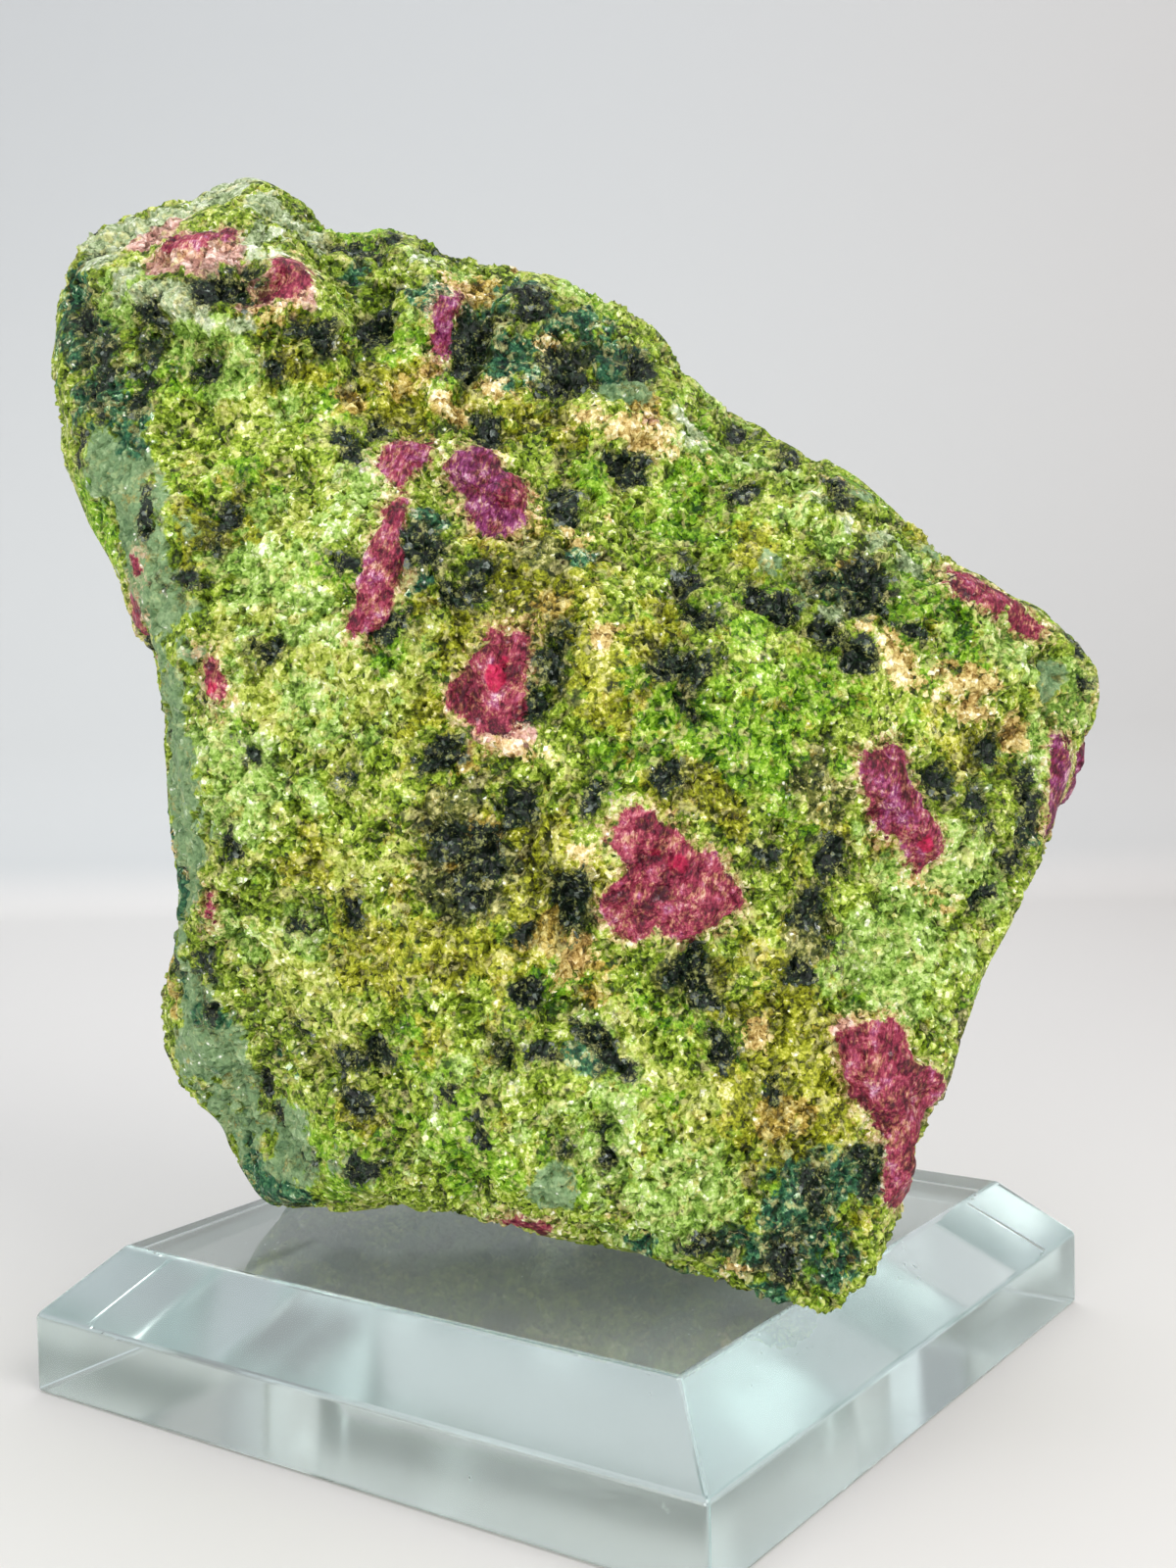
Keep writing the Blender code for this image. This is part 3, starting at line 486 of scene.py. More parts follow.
rearPatches = {"count": 110, "small": 4.0, "large": 9.0, "spacing": 5.0,
               "kinds": ("lime", "pale", "vivid", "olive", "umber", "pale", "teal", "vivid", "lime", "rust")}
hidden = {"tries": 9000, "facing": -0.12, "slack": 2 * mm, "under": -0.6}      # to find what isn't seen
sides = {"rear": (0, -1, 0), "right": (-1, 0, 0), "left": (1, 0, 0)}      # the ways into the stone
farOut = 0.2      # metres, well outside the stone


def fromStone(vector):
    # a direction or place in the stone's own axes, in the axes of the base
    turn = math.radians(stone["turn"])
    x, y, z = vector
    return Vector((x * math.cos(turn) - y * math.sin(turn), x * math.sin(turn) + y * math.cos(turn), z))


def crystal(middle, across, upward, inward, half, purple=0.0, power=3.0):
    # a body with rounded corners; reach is a cube's half side that safely holds it
    axes = np.array([across, upward, inward]).T
    return {"at": np.array(middle), "axes": axes, "half": np.array(half), "purple": purple,
            "power": power, "reach": 2.2 * max(half) + 2 * mm}


def halves(wide, tall):
    # half a crystal's width, height and depth
    return (wide / 2 * mm, tall / 2 * mm, max(wide, tall) * 0.7 * mm)


def pictured(surface, spot, power=3.4):
    # a crystal that the camera sees at this pixel, as a body that lies in the rock there
    across, down, wide, tall, turn, purple = spot + (0.0, 0.0)[:6 - len(spot)]
    start, way = sightLine(across, down)
    hit = surface.ray_cast(start, way)[0]
    if hit is None:
        return None
    right, up, ahead = cameraAxes()
    return crystal(hit, *turned(right, up, turn), ahead, halves(wide, tall), purple, power)


def onSide(surface, spot):
    across, high, wide, tall, turn, purple, side = spot
    way = fromStone(sides[side])
    place = (across, 0, high) if side == "rear" else (0, across, high)
    start = fromStone(Vector(place) * mm) - way * farOut
    hit = surface.ray_cast(start, way)[0]
    if hit is None:
        return None
    inward, upward = np.array(way), np.array((0.0, 0.0, 1.0))
    axes = turned(np.cross(inward, upward), upward, turn)
    return crystal(hit, *axes, inward, halves(wide, tall), purple)


def inField(points, crystals):
    # how deep each point lies in the nearest crystal, in millimetres, and which crystal that is
    depth = np.full(len(points), -3.0)
    which = np.zeros(len(points), int)
    for number, c in enumerate(crystals):
        gap = points - c["at"]
        near = np.flatnonzero(np.abs(gap).max(1) < c["reach"])
        if not len(near):
            continue
        local = np.abs(gap[near] @ c["axes"]) / c["half"]
        value = (1 - (local ** c["power"]).sum(1) ** (1 / c["power"])) * c["half"][:2].min() / mm
        better = value > depth[near]
        depth[near[better]] = value[better]
        which[near[better]] = number
    return depth, which


def patchShare(points, spots):
    # how much each point has of a patch's colour, which fades out from the patch's middle
    share = np.zeros(len(points))
    for middle, radius, strength in spots:
        gap = np.linalg.norm(points - middle, axis=1)
        share = np.maximum(share, strength * np.exp(-(gap / radius) ** 2))
    return share


mixing = np.array([73856093, 19349663, 83492791])      # turns a cell's place into a well mixed number
drawCount = 65536      # how many crystals are drawn before they repeat


def roughBody():
    # the stone's solid with even faces and without its flat ones
    bm = bmesh.new()
    bm.from_mesh(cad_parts["stone"].data)
    bmesh.ops.remove_doubles(bm, verts=bm.verts, dist=1e-6)
    piece = fromBmesh(bm, "stone_body")
    remesh = piece.modifiers.new("even", "REMESH")
    remesh.mode = "VOXEL"
    remesh.voxel_size = stone["cell"]
    smooth = piece.modifiers.new("soften", "SMOOTH")
    smooth.factor = 0.5
    smooth.iterations = stone["soften"]
    seen = piece.evaluated_get(bpy.context.evaluated_depsgraph_get())
    mesh = bpy.data.meshes.new_from_object(seen)
    piece.modifiers.clear()
    piece.data = mesh
    return piece


def clouds(points, size, layers=3, kind=0, rough=0.5):
    # soft noise about 0 whose lumps are about this size, in ever finer layers; kind gives another pattern
    ways = unit(np.random.default_rng(100 + kind).normal(size=(drawCount, 3)))
    total = np.zeros(len(points))
    for layer in range(layers):
        spots = points / size * 2 ** layer + 31.7 * layer
        home = np.floor(spots).astype(np.int64)
        part = spots - home
        ease = part * part * part * (part * (part * 6 - 15) + 10)
        for step in itertools.product((0, 1), repeat=3):
            way = ways[((home + step) @ mixing) % len(ways)]
            share = np.where(step, ease, 1 - ease).prod(1)
            total += 2 * rough ** layer * share * ((part - step) * way).sum(1)
    return total


def packed(points, size, seed):
    # the rock as packed crystals of this size: for each point its crystal's four own numbers, the way
    # there from the crystal's middle, and how much farther off the next crystal is
    draws = np.random.default_rng(seed).random((drawCount, 7))
    home = np.floor(points / size).astype(np.int64)
    nearest, second = np.full((2, len(points)), 9.0)
    middle, own = np.zeros((len(points), 3)), np.zeros((len(points), 4))
    for step in itertools.product((-1, 0, 1), repeat=3):
        cell = home + step
        draw = draws[(cell @ mixing) % len(draws)]
        spot = (cell + draw[:, :3]) * size
        gap = np.linalg.norm(points - spot, axis=1)
        closer = gap < nearest
        second = np.where(closer, nearest, np.minimum(second, gap))
        nearest = np.where(closer, gap, nearest)
        middle[closer], own[closer] = spot[closer], draw[closer, 3:]
    return own, points - middle, second - nearest


def crystalFaces(points, recipe, seed):
    # height in millimetres of a surface of small flat faces, with each crystal's own numbers
    size, lean, uneven = recipe[:3]
    own, gap, seam = packed(points, size * mm, seed)
    height = (gap * (own[:, :3] - 0.5)).sum(1) * 2 * lean / mm + (own[:, 3] - 0.5) * uneven
    height -= stone["groove"] * np.exp(-(seam / (stone["grooveWidth"] * size * mm)) ** 2)
    return height, own, seam / (size * mm)


def raisedLines(points, surface):
    # height in millimetres of the ridges and dents, each fading to both sides of its line
    height = np.zeros(len(points))
    for line, tall, wide in ridges:
        hits = [surface.ray_cast(*sightLine(*spot))[0] for spot in line]
        hits = [np.array(hit) for hit in hits if hit]
        near = np.full(len(points), 1.0)
        for start, end in zip(hits, hits[1:] or hits):
            way = end - start
            reach = np.linalg.norm(way) / 2 + 1.5 * wide * mm
            close = np.flatnonzero(np.abs(points - (start + end) / 2).max(1) < reach)
            gap = points[close] - start
            share = np.clip(gap @ way / max(way @ way, 1e-12), 0, 1)
            near[close] = np.minimum(near[close], np.linalg.norm(gap - share[:, None] * way, axis=1))
        height += tall * np.exp(-(near / (wide / 2 * mm)) ** 2)
    return height


def sculptBody(piece, fields):
    mesh = piece.data
    points = read(mesh.vertices, "co", 3)
    normals = read(mesh.vertices, "normal", 3)
    broad, low = stone["lumps"]
    small, high = stone["chips"]
    ragged = clouds(points, small * mm, 4, 5)
    surface = BVHTree.FromObject(piece, bpy.context.evaluated_depsgraph_get())
    relief = low * clouds(points, broad * mm, 3, 6) + high * ragged
    relief += raisedLines(points + stone["ridgeDrift"] * ragged[:, None], surface)
    wander = points + stone["drift"] * ragged[:, None]
    crystals, own, seam = crystalFaces(wander, stone["crystals"], 11)
    sugar, fine, gap = crystalFaces(wander, stone["sugar"], 12)
    blades, blade, gap = crystalFaces(wander, stone["blades"], 13)
    way = np.array(fibreWay)
    drawn = wander - (1 - 1 / stone["fibres"][3]) * (wander @ way)[:, None] * way
    fibres, fibre, gap = crystalFaces(drawn, stone["fibres"], 14)
    ruby = fade(fields["ruby"], -0.2, 0.2)
    dark = fade(fields["dark"], -0.3, 0.3) * (1 - ruby)
    relief += (crystals + sugar) * (1 - ruby) * (1 - dark)
    relief += (fibres + stone["rubyProud"]) * ruby + (blades - stone["darkSunk"]) * dark
    relief = np.minimum(relief, stone["sink"] / mm)
    points += normals * (relief * mm - stone["sink"])[:, None]
    points = np.clip(points, *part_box("stone"))
    mesh.vertices.foreach_set("co", points.astype(np.float32).ravel())
    mesh.update()
    addAttribute(mesh, "grain", 0.6 * own[:, 3] + 0.4 * fine[:, 3])
    addAttribute(mesh, "tint", 0.6 * own[:, 0] + 0.4 * fine[:, 0])
    addAttribute(mesh, "seam", seam)
    # painted shade and light from the relief: low places are coloured darker, high places lighter
    addAttribute(mesh, "rise", fade(relief, *stone["relief"]))


def quarters(piece):
    # the stone in four closed pieces, so that none has too many faces
    whole = bmesh.new()
    whole.from_mesh(piece.data)
    low, high = (Vector(corner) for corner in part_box("stone"))
    made = []
    for depth, rearward in (("front", 1), ("rear", -1)):
        for side, rightward in (("left", 1), ("right", -1)):
            bm = whole.copy()
            for way in (fromStone((0, rearward, 0)), fromStone((rightward, 0, 0))):
                everything = bm.verts[:] + bm.edges[:] + bm.faces[:]
                bmesh.ops.bisect_plane(bm, geom=everything, plane_co=(low + high) / 2, plane_no=way,
                                       clear_outer=True)
                rim = [e for e in bm.edges if e.is_boundary]
                for edge in rim:
                    edge.smooth = False
                caps = bmesh.ops.holes_fill(bm, edges=rim)["faces"]
                for cap in caps:
                    cap.smooth = False
                bmesh.ops.triangulate(bm, faces=caps)
            bmesh.ops.triangulate(bm, faces=bm.faces)
            made.append(fromBmesh(bm, "zoisite_" + depth + "_" + side))
            layMap(made[-1].data)
    whole.free()
    bpy.data.objects.remove(piece)
    return made


def layMap(mesh):
    # a flat map of the piece: its six sides, each seen straight on, in two rows of three, with a rim
    rim, room = 0.02, 0.96
    faces = np.abs(read(mesh.polygons, "normal", 3))
    signs = read(mesh.polygons, "normal", 3) > 0
    axis = faces.argmax(1)
    cell = axis + 3 * signs[np.arange(len(axis)), axis]
    corner = np.zeros(len(mesh.loops), np.int32)
    mesh.loops.foreach_get("vertex_index", corner)
    points = read(mesh.vertices, "co", 3)
    points = (points - points.min(0)) / np.ptp(points, axis=0).max()
    count = np.zeros(len(mesh.polygons), np.int32)
    mesh.polygons.foreach_get("loop_total", count)
    axis, cell = np.repeat(axis, count), np.repeat(cell, count)
    rows = np.arange(len(corner))
    across, up = points[corner][rows, (axis + 1) % 3], points[corner][rows, (axis + 2) % 3]
    flat = np.stack([(cell % 3 + rim + room * across) / 3, (cell // 3 + rim + room * up) / 2], 1)
    mesh.uv_layers.new(name="OFBake").data.foreach_set("uv", flat.astype(np.float32).ravel())


def findMinerals(piece):
    bpy.context.view_layer.update()
    surface = BVHTree.FromObject(piece, bpy.context.evaluated_depsgraph_get())
    dice = np.random.default_rng(stone["seed"])
    found = {
        "ruby": [pictured(surface, s) for s in rubies.values()] + [onSide(surface, s) for s in rearRubies],
        "dark": [pictured(surface, s) for s in hornblendes],
        "tan": [pictured(surface, s, 2.0) for s in tanPatches],
        "bright": [pictured(surface, s, 2.0) for s in brightReds],
    }
    found = {k: [c for c in v if c] for k, v in found.items()}
    shades = {}
    for kind, spots in patches.items():
        shades[kind] = []
        for across, down, radius, strength in spots:
            hit = surface.ray_cast(*sightLine(across, down))[0]
            if hit:
                shades[kind].append((np.array(hit), radius * mm, strength))
    places = hiddenPlaces(piece, surface, dice)
    for kind, wanted in (("dark", rearDark), ("tan", rearTan)):
        for spot in spaced(places, wanted, dice):
            found[kind].append(anySide(spot, wanted, dice))
    for number, spot in enumerate(spaced(places, rearPatches, dice)):
        radius = dice.uniform(rearPatches["small"], rearPatches["large"]) * mm
        kind = rearPatches["kinds"][number % len(rearPatches["kinds"])]
        if spot[1][2] < hidden["under"]:
            kind = "mist" if number % 3 == 0 else "teal"      # the underside gets painted haze and shade, and is bluer
        shades[kind].append((spot[0], radius, dice.uniform(0.5, 1.0)))
    return found, shades


def hiddenPlaces(piece, surface, dice):
    # places on the stone that the camera doesn't see, in a mixed order
    points = read(piece.data.vertices, "co", 3)
    normals = read(piece.data.vertices, "normal", 3)
    eye = np.array(camera["place"])
    picked = dice.permutation(len(points))[:hidden["tries"]]
    places = []
    for k in picked:
        way = points[k] - eye
        far = np.linalg.norm(way)
        hit = surface.ray_cast(Vector(eye), Vector(way / far))
        if (way @ normals[k]) / far > hidden["facing"] or (hit[0] and hit[3] < far - hidden["slack"]):
            places.append((points[k], normals[k]))
    return places


def spaced(places, wanted, dice):
    kept = []
    for k in dice.permutation(len(places)):
        if len(kept) == wanted["count"]:
            break
        if all(np.linalg.norm(places[k][0] - other[0]) > wanted["spacing"] * mm for other in kept):
            kept.append(places[k])
    return kept


def anySide(spot, wanted, dice):
    # a crystal on a hidden side; small ones are commoner than large ones
    middle, normal = spot
    wide = (wanted["small"] + (wanted["large"] - wanted["small"]) * dice.random() ** 1.8) * mm
    tall = wide * dice.uniform(0.6, 1.7)
    across = unit(np.cross(normal, dice.normal(size=3)))
    return crystal(middle, across, np.cross(normal, across), normal, (wide / 2, tall / 2, wide))


def addAttribute(mesh, name, values):
    made = mesh.attributes.new(name, "FLOAT", "POINT")
    made.data.foreach_set("value", np.asarray(values, np.float32))


def markMinerals(mesh, points, minerals, shades):
    # what the surface is made of at each point: how deep it lies in a mineral, in millimetres, with
    # ragged borders, and how much it has of each colour of the green rock, painted shade, haze and light
    # among them
    fields = {}
    for number, (kind, crystals) in enumerate(minerals.items()):
        fields[kind], which = inField(points, crystals)
        size, reach = borders[kind]
        fields[kind] += reach * clouds(points, size * mm, 4, 20 + number, 0.65)
        addAttribute(mesh, kind, fields[kind])
        if kind == "ruby":
            addAttribute(mesh, "purple", np.array([c["purple"] for c in crystals])[which])
    d = patchDrift
    for number, (kind, spots) in enumerate(shades.items()):
        share = patchShare(points, spots)
        drift = d["reach"] * clouds(points, d["size"], d["layers"], 30 + number, d["rough"])
        if kind not in loose:
            drift *= np.minimum(1, 2.5 * share)
        addAttribute(mesh, kind, fade(share + drift, *d["edge"]))
    return fields


# how far a mineral's border wanders, in millimetres, and the size of the wandering
borders = {"ruby": (2.6, 0.28), "dark": (2.4, 0.85), "tan": (3.0, 1.2), "bright": (1.2, 0.2)}
sixSteps = (0.0, 0.25, 0.5, 0.75, 0.92, 1.0)      # where the colours of a ramp stand
fiveSteps = (0.0, 0.25, 0.5, 0.75, 1.0)
greens = {
    "leaf": stops(sixSteps, (30, 44, 0), (80, 104, 4), (128, 154, 28), (174, 194, 74), (208, 220, 122),
                  (236, 242, 184)),
    "lime": stops(sixSteps, (80, 94, 14), (134, 150, 38), (174, 186, 78), (204, 210, 118),
                  (226, 228, 158), (244, 244, 208)),
    "pale": stops(sixSteps, (66, 98, 22), (118, 152, 52), (158, 190, 88), (192, 214, 130),
                  (220, 232, 174), (244, 247, 218)),
    "vivid": stops(sixSteps, (22, 62, 0), (78, 124, 0), (120, 164, 22), (158, 194, 62), (192, 216, 110),
                   (226, 238, 176)),
    "olive": stops(sixSteps, (40, 42, 0), (90, 94, 0), (138, 144, 14), (182, 184, 54), (212, 208, 108),
                   (236, 230, 164)),
    "teal": stops(sixSteps, (0, 22, 16), (8, 50, 32), (30, 84, 54), (72, 124, 80), (128, 170, 122),
                  (200, 224, 188)),
    "mist": stops(sixSteps, (74, 104, 70), (100, 130, 87), (121, 149, 102), (142, 168, 120),
                  (166, 188, 144), (204, 218, 186)),
    "umber": stops(sixSteps, (12, 18, 2), (42, 52, 12), (84, 92, 32), (132, 134, 62), (182, 178, 108),
                   (226, 220, 168)),
    "frost": stops(sixSteps, (104, 122, 82), (146, 164, 116), (178, 192, 148), (204, 214, 180),
                   (226, 232, 208), (246, 248, 234)),
    "tan": stops(sixSteps, (92, 66, 20), (160, 126, 62), (207, 176, 108), (233, 210, 150),
                 (246, 230, 186), (254, 246, 222)),
    "blush": stops(fiveSteps, (112, 72, 62), (164, 116, 102), (204, 156, 142), (226, 188, 174),
                   (246, 226, 216)),
    "rust": stops(fiveSteps, (60, 48, 8), (116, 94, 24), (166, 140, 56), (206, 182, 96), (242, 226, 164)),
    "peach": stops(fiveSteps, (110, 64, 40), (170, 116, 80), (216, 168, 130), (238, 202, 172),
                   (252, 236, 220)),
}
reds = stops((0.0, 0.22, 0.45, 0.7, 0.9, 1.0), (58, 4, 22), (104, 20, 44), (146, 46, 70), (186, 92, 104),
             (222, 156, 146), (242, 204, 186))
purples = stops(fiveSteps, (44, 6, 36), (90, 20, 64), (128, 46, 96), (174, 102, 140), (226, 186, 200))
tawnies = stops((0.0, 0.35, 0.65, 1.0), (96, 48, 36), (150, 96, 66), (204, 152, 112), (246, 220, 188))
blacks = stops((0.0, 0.35, 0.6, 0.8, 1.0), (1, 5, 2), (10, 22, 12), (28, 48, 28), (62, 84, 54),
               (138, 150, 112))
fibreWay = (0.2, -0.62, -0.7587)      # the way that the rubies' fibres run


rockFinish = {
    "facet": 0.55 * mm,       # size of the finest crystal faces, and how far their borders wander
    "facetDrift": 0.2 * mm,
    "fray": 0.8 * mm,         # size of the noise that frays every border
    "blotch": 1.5 * mm,
    "speck": 0.3 * mm,
    "shares": {"grain": 0.4, "own": 0.5, "face": 0.3, "blotch": 0.95, "speck": 1.2, "fray": 0.3,
               "rise": 0.28},           # what each adds to the lightness
    "base": -1.88,            # lightness before that
    "middle": 0.48,
    "paintedHazeFlatten": 0.4,              # how much flatter the patches of painted haze and shade are, and how much fainter their seams
    "paintedHazeSeams": 0.7,
    "seamCream": (0.5, tone(230, 222, 150)),      # how strong, and the colour
    "seamDark": (0.45, tone(36, 44, 4)),
    "pits": (0.75, tone(34, 44, 6)),
    # painted glints: how strong the near-white highlight specks are, and their colour
    "paintedGlints": (0.85, tone(252, 252, 238)),
    "rust": 0.5,
    "nearDark": 0.85,         # how strongly the rock changes colour beside each mineral
    "sandy": 0.85,
    "halo": 0.6,
    "rough": 0.6,
    "relief": 0.25 * mm,      # height of the bump
    "reliefShare": 0.8,
    "reliefStrength": 0.9,
}
rubyFinish = {"streak": 0.26 * mm, "stripe": 0.36 * mm, "blotch": 2.4 * mm, "tawny": 0.7, "bright": 0.85}
# the hornblende's painted sheen: grey highlights on some faces, in patches of the given size
hornblendeFinish = {"speck": 0.4 * mm, "paintedSheenPatch": 1.6 * mm, "fleck": 0.85,
                    "paintedSheen": (0.6, tone(128, 138, 130))}
nearShades = stops((0.3, 0.48, 0.62, 0.85), (6, 12, 2), (44, 52, 14), (104, 104, 36), (180, 168, 100))
brightShades = stops((0.2, 0.8), (110, 0, 34), (196, 14, 74))
fleckShades = stops((0.2, 0.8), (46, 64, 18), (146, 148, 86))


def rockColour(f, crystals, fray):
    # the green rock's colour, from each crystal's own lightness and the patch that it lies in, with painted
    # shade in hollows, painted light on high places and painted glints
    r = rockFinish
    own, gap, face = crystals
    tint, paintedHazeShare = f.attribute("tint"), f.attribute("mist")
    blotch, speck = f.cloud(r["blotch"], 3, 0.65), f.cloud(r["speck"], 2, 0.6)
    sources = {"grain": f.attribute("grain"), "own": own, "face": face, "blotch": blotch, "speck": speck,
               "fray": fray, "rise": f.attribute("rise")}
    # the lightness includes painted shade in the hollows and painted light on the high places, taken from
    # the relief
    light = sum(value * r["shares"][name] for name, value in sources.items())
    # the painted haze and shade flattens the lightness and fades the seams
    light = (light + r["base"]) * (1 - paintedHazeShare * r["paintedHazeFlatten"]) + r["middle"]
    clear = 1 - paintedHazeShare * r["paintedHazeSeams"]
    rag = fray - 0.5
    colour = f.ramp(light, greens["leaf"])
    for kind in patches:
        share = f.within(f.attribute(kind) + (own - 0.5) * 0.4 + (tint - 0.5) * 0.4, 0.3, 0.7)
        colour = f.mix(share, colour, f.ramp(light, greens[kind]))
    edge = f.within(f.attribute("seam") + rag * 0.8, 0.0, 0.2, 1.0, 0.0) * clear
    cream = f.within(tint, 0.45, 0.6)
    colour = f.mix(cream * edge * r["seamCream"][0], colour, r["seamCream"][1])
    colour = f.mix((1 - cream) * edge * r["seamDark"][0], colour, r["seamDark"][1])
    pits = f.within(blotch * 0.5 + fray * 0.5, 0.36, 0.42, 1.0, 0.0) * clear
    colour = f.mix(pits * r["pits"][0], colour, r["pits"][1])
    rust = f.within(tint + rag * 1.6, 0.8, 0.95)
    colour = f.mix(rust * r["rust"], colour, f.ramp(light, greens["rust"]))
    near = f.within(f.attribute("dark") + rag * 5.0 + (own - 0.5) * 1.2, -0.9, 0.7)
    colour = f.mix(near * r["nearDark"], colour, f.ramp(speck * 0.8 + own * 0.2, nearShades))
    sandy = f.within(f.attribute("tan") + rag * 5.0 + (own - 0.5), -0.3, 0.6)
    colour = f.mix(sandy * r["sandy"], colour, f.ramp(light + 0.08, greens["tan"]))
    halo = f.within(f.attribute("ruby") + rag * 5.0 + (own - 0.5) * 0.8, -0.9, 0.3)
    colour = f.mix(halo * r["halo"], colour, f.ramp(light + 0.05, greens["peach"]))
    # painted glints: a few crystals get near-white specks that stand for highlights
    glint = f.within(own, 0.945, 0.96) * f.within(gap, 0.12, 0.36, 1.0, 0.0)
    return f.mix(glint * r["paintedGlints"][0], colour, r["paintedGlints"][1])


def rubyColour(f, own, fray):
    r = rubyFinish
    streak = f.cloud(r["streak"], 3, 0.75, f.along(fibreWay, 5.0))
    stripe = f.cloud(r["stripe"], 3, 0.75, f.along(fibreWay, 3.5)) + (f.attribute("tint") - 0.5) * 0.2
    blotch = f.cloud(r["blotch"], 3, 0.7) - 0.5
    light = (streak - 0.5) * 1.5 + blotch * 2.2 + own * 0.2 + 0.24
    purple = f.within(f.attribute("purple") + blotch * 3.0, 0.4, 1.0)
    colour = f.mix(purple, f.ramp(light, reds), f.ramp(light, purples))
    colour = f.mix(f.within(stripe, 0.5, 0.68) * r["tawny"], colour, f.ramp(light + 0.16, tawnies))
    bright = f.within(f.attribute("bright") + (fray - 0.5), -0.1, 0.25)
    return f.mix(bright * r["bright"], colour, f.ramp(light + 0.2, brightShades))


def hornblendeColour(f, own, fray):
    h = hornblendeFinish
    light = (f.cloud(h["speck"], 3, 0.75) - 0.5) * 2.0 + (own - 0.5) * 0.3 + 0.36
    fleck = f.within(fray + (f.attribute("tint") - 0.5) * 0.2, 0.55, 0.65)
    # painted sheen: a grey that stands for highlights on some of the hornblende's faces
    paintedSheen = f.within(own, 0.84, 0.9) * f.within(f.cloud(h["paintedSheenPatch"], 2, 0.6), 0.5, 0.6)
    colour = f.mix(paintedSheen * h["paintedSheen"][0], f.ramp(light, blacks), h["paintedSheen"][1])
    return f.mix(fleck * h["fleck"], colour, f.ramp(light + 0.1, fleckShades))


def stoneFinish():
    f = Finish("ruby_in_zoisite")
    r = rockFinish
    crystals = f.facets(r["facet"], r["facetDrift"])
    own = crystals[0]
    fray = f.cloud(r["fray"], 3, 0.8)
    rubyShare = f.within(f.attribute("ruby") + (fray - 0.5) * 1.6, -0.12, 0.12)
    darkShare = f.within(f.attribute("dark") + (fray - 0.5) * 3.0 + (own - 0.5) * 0.5, -0.1, 0.2)
    colour = f.mix(darkShare, rockColour(f, crystals, fray), hornblendeColour(f, own, fray))
    colour = f.mix(rubyShare, colour, rubyColour(f, own, fray))
    glint = f.within(own, 0.9, 0.95)
    rough = r["rough"] - glint * 0.38 - darkShare * 0.12
    relief = (crystals[2] + f.cloud(0.5 * mm, 1, 0.5)) * r["reliefShare"]
    return f.surface({"Base Color": colour, "Roughness": rough, "Coat Weight": glint * 0.5,
                      "Coat Roughness": 0.14, "IOR": 1.5, "Specular IOR Level": 0.3,
                      "Normal": f.bump(relief, r["relief"], r["reliefStrength"])})


glassBase = {
    "side": 80 * mm,
    "wall": 8 * mm,
    "slope": 6.5 * mm,      # the sloped edge rises and runs in by this much
    "arris": 0.35 * mm,
    "ior": 1.5,
    "polish": 0.02,         # roughness of the polished faces
    "ground": 0.1,          # and how much rougher the underside is, up to this height
    "groundTop": (0.05 * mm, 0.2 * mm),
    "smudges": (16 * mm, 0.06),       # size, and how much rougher they are
    "specks": (0.9 * mm, 0.25),
    "tint": tone(248, 252, 251),
    "depth": 3.8,           # how fast the glass darkens, per metre, and towards what colour
    "depthTint": tone(206, 238, 234),
}


def makeGlass():
    g = glassBase
    bm = bmesh.new()
    bmesh.ops.create_cube(bm, size=1.0)
    bmesh.ops.scale(bm, verts=bm.verts, vec=(g["side"], g["side"], g["wall"]))
    bmesh.ops.translate(bm, verts=bm.verts, vec=(0, 0, g["wall"] / 2))
    top = max(bm.faces, key=lambda face: face.calc_center_median().z)
    raised = bmesh.ops.extrude_face_region(bm, geom=[top])["geom"]
    bmesh.ops.delete(bm, geom=[top], context="FACES_ONLY")
    corners = [v for v in raised if isinstance(v, bmesh.types.BMVert)]
    share = 1 - 2 * g["slope"] / g["side"]
    bmesh.ops.scale(bm, verts=corners, vec=(share, share, 1))
    bmesh.ops.translate(bm, verts=corners, vec=(0, 0, g["slope"]))
    bmesh.ops.bevel(bm, geom=bm.edges[:], offset=g["arris"], affect="EDGES", segments=3, profile=0.5,
                    material=-1)
    bmesh.ops.recalc_face_normals(bm, faces=bm.faces)
    piece = fromBmesh(bm, "glass_base_clear")
    low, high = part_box("glass_base")
    own = read(piece.data.vertices, "co", 3)
    piece.data.vertices.foreach_set("co", np.clip(own, low, high).astype(np.float32).ravel())
    for face in piece.data.polygons:
        face.use_smooth = False
    return piece


def glassFinish():
    f = Finish("clear_glass")
    g = glassBase
    smudge = f.within(f.cloud(g["smudges"][0], 4, 0.6), 0.5, 0.72)
    specks = f.within(f.cloud(g["specks"][0], 2, 0.5), 0.66, 0.72)
    under = f.within(f.height(), *g["groundTop"], 1.0, 0.0)
    rough = g["polish"] + under * g["ground"] + smudge * g["smudges"][1] + specks * smudge * g["specks"][1]
    volume = f.node("ShaderNodeVolumeAbsorption", {}, {"Color": g["depthTint"], "Density": g["depth"]})
    return f.surface({"Base Color": g["tint"], "Roughness": rough, "IOR": g["ior"],
                      "Transmission Weight": 1.0}, volume.outputs[0])


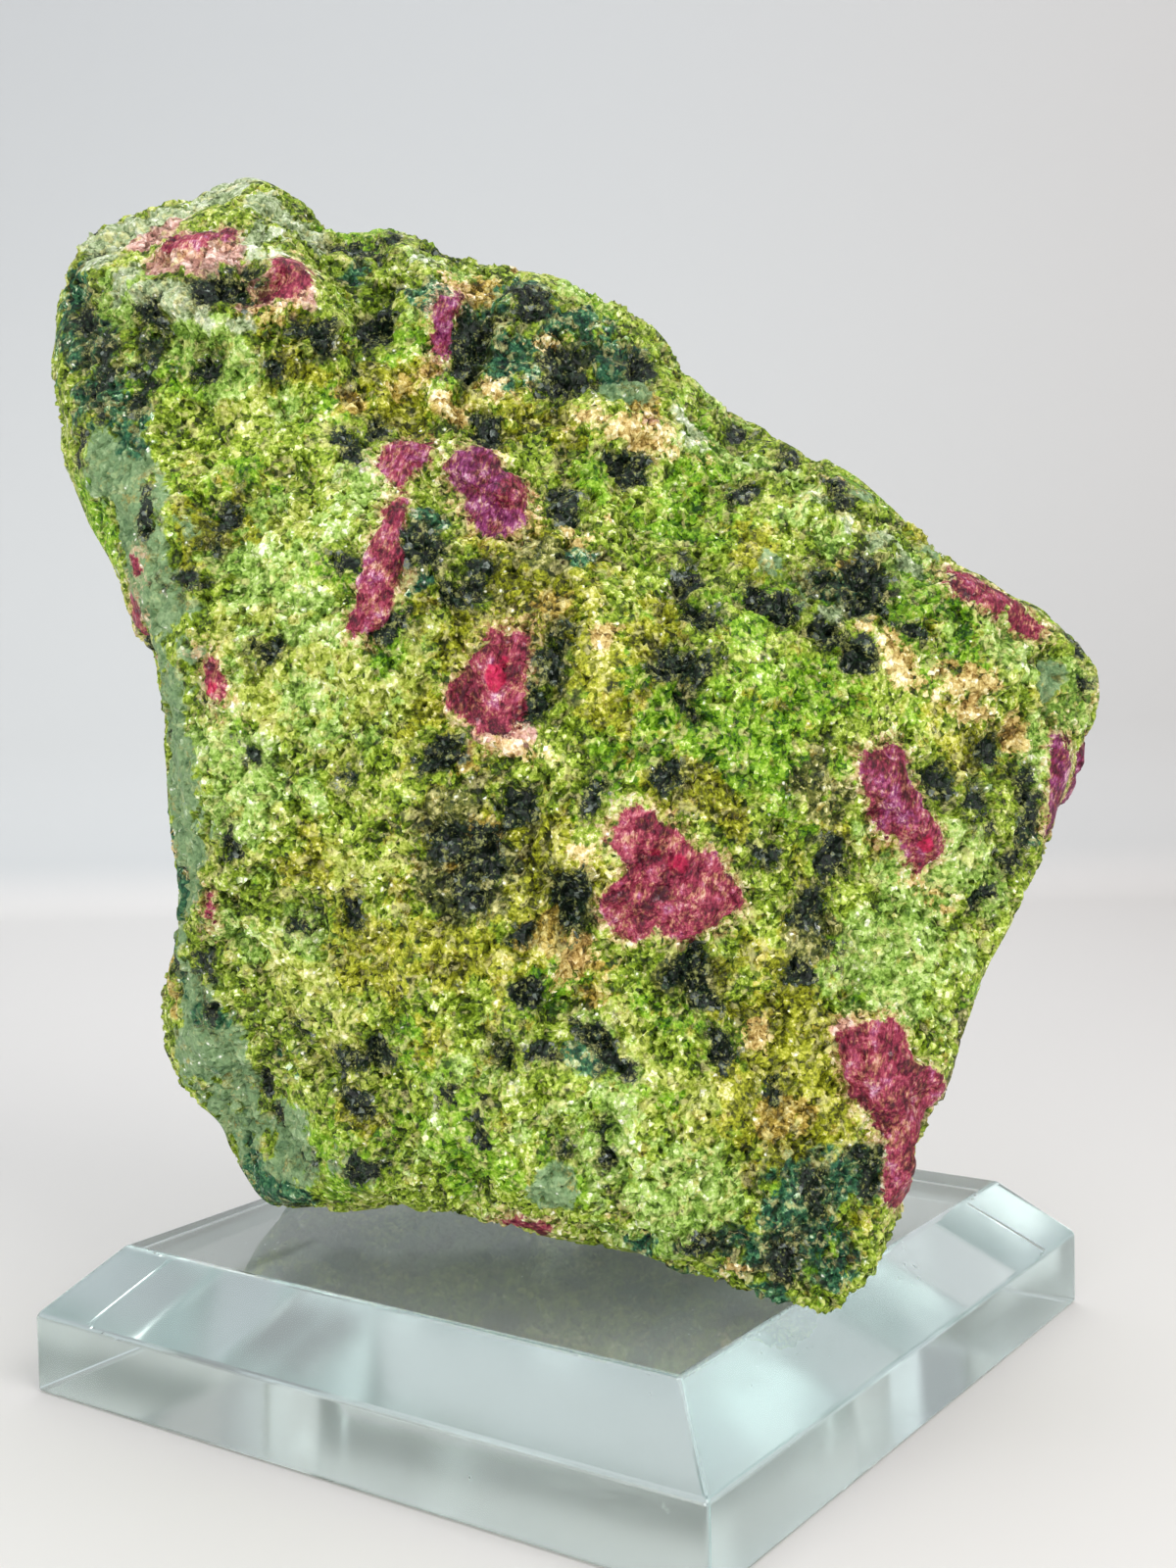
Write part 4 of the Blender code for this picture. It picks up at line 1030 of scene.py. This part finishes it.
studio = {
    "floor": tone(234, 231, 228),
    "wall": tone(208, 210, 210),
    # the wall's top colour is painted shade, darker than the rest of the wall
    "paintedShadeWallTop": tone(190, 192, 193),
    "paintedShade": tone(200, 194, 190),       # painted shade: what it all fades to on the right
    "paintedShadeShare": 0.6,
    "paintedShadeFrom": (-0.05, 0.3),
    "wallAway": 0.40,       # metres from the base's middle to the wall
    "bend": 0.05,
    "bendSteps": 8,
    "reach": 2.5,           # how far the floor comes forward and the wall goes up
    "wide": 6.0,
    "footFade": (0.0, 0.015),       # heights between which the floor's colour turns to the wall's
    "paintedShadeWallFade": (0.06, 0.34),
    "turns": 24,            # light needs many turns to get out of the glass
    "gap": 0.1 * mm,        # the floor lies this far under the glass
    "sky": tone(238, 241, 246),
    "skyStrength": 0.75,
}
lampAim = Vector((0, 0, 0.06))
lights = {
    "window": {"at": (0.55, -0.14, 0.42), "size": (0.4, 0.4), "power": 2.1, "colour": (1.0, 0.985, 0.96)},
    "front": {"at": (0.12, -0.62, 0.16), "size": (0.5, 0.3), "power": 2.2, "colour": (1.0, 1.0, 1.0)},
    "top": {"at": (-0.05, 0.12, 0.6), "size": (0.4, 0.4), "power": 0.9, "colour": (0.95, 0.98, 1.0)},
}


def makeStudio():
    right, up, ahead = cameraAxes()
    away = Vector((ahead[0], ahead[1], 0)).normalized()
    level = Vector((-away.y, away.x, 0))
    bm = bmesh.new()
    bend, far = studio["bend"], studio["wallAway"]
    profile = [away * -studio["reach"], away * (far - bend)]
    for step in range(1, studio["bendSteps"] + 1):
        t = math.pi / 2 * step / studio["bendSteps"]
        profile.append(away * (far - bend + bend * math.sin(t)) + Vector((0, 0, bend - bend * math.cos(t))))
    profile.append(away * far + Vector((0, 0, studio["reach"])))
    line = [bm.verts.new(p - level * studio["wide"] / 2) for p in profile]
    seams = [bm.edges.new(pair) for pair in zip(line, line[1:])]
    pulled = bmesh.ops.extrude_edge_only(bm, edges=seams)["geom"]
    moved = [v for v in pulled if isinstance(v, bmesh.types.BMVert)]
    bmesh.ops.translate(bm, verts=moved, vec=level * studio["wide"])
    bmesh.ops.translate(bm, verts=bm.verts, vec=(0, 0, -studio["gap"]))
    floor = fromBmesh(bm, "studio_floor")
    for face in floor.data.polygons:
        face.use_smooth = True
    f = Finish("studio_floor")
    cloth = f.mix(f.within(f.height(), *studio["footFade"]), studio["floor"], studio["wall"])
    # the wall darker towards the top: painted shade
    cloth = f.mix(f.within(f.height(), *studio["paintedShadeWallFade"]), cloth, studio["paintedShadeWallTop"])
    # darker towards the right: painted shade
    paintedShadeMask = f.within(Value(f, f.vector("DOT_PRODUCT", f.place, -level)), *studio["paintedShadeFrom"])
    cloth = f.mix(paintedShadeMask * studio["paintedShadeShare"], cloth, studio["paintedShade"])
    floor.data.materials.append(f.surface({"Base Color": cloth, "Roughness": 0.75}))
    world = bpy.data.worlds.new("studio")
    world.use_nodes = True
    world.node_tree.nodes["Background"].inputs["Color"].default_value = studio["sky"]
    world.node_tree.nodes["Background"].inputs["Strength"].default_value = studio["skyStrength"]
    bpy.context.scene.world = world
    for name, light in lights.items():
        data = bpy.data.lights.new(name, "AREA")
        data.shape = "RECTANGLE"
        data.size, data.size_y = light["size"]
        data.energy = light["power"]
        data.color = light["colour"]
        lamp = bpy.data.objects.new(name, data)
        lamp.location = light["at"]
        way = lampAim - lamp.location
        lamp.rotation_euler = way.to_track_quat("-Z", "Y").to_euler()
        bpy.context.scene.collection.objects.link(lamp)
    bpy.context.scene.view_settings.view_transform = "Standard"
    paths = bpy.context.scene.cycles
    paths.max_bounces = paths.transmission_bounces = paths.glossy_bounces = studio["turns"]


body = roughBody()
print("stone", len(body.data.polygons), "faces before it is cut")
minerals, shades = findMinerals(body)
print("minerals", {k: len(v) for k, v in minerals.items()})
fields = markMinerals(body.data, read(body.data.vertices, "co", 3), minerals, shades)
sculptBody(body, fields)
rock = stoneFinish()
for piece in quarters(body):
    piece.data.materials.append(rock)
    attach(piece, "root")
    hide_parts("stone")
    print(piece.name, len(piece.data.polygons), "faces")
glass = makeGlass()
glass.data.materials.append(glassFinish())
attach(glass, "root")
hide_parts("glass_base")
makeStudio()
print("studio ready")
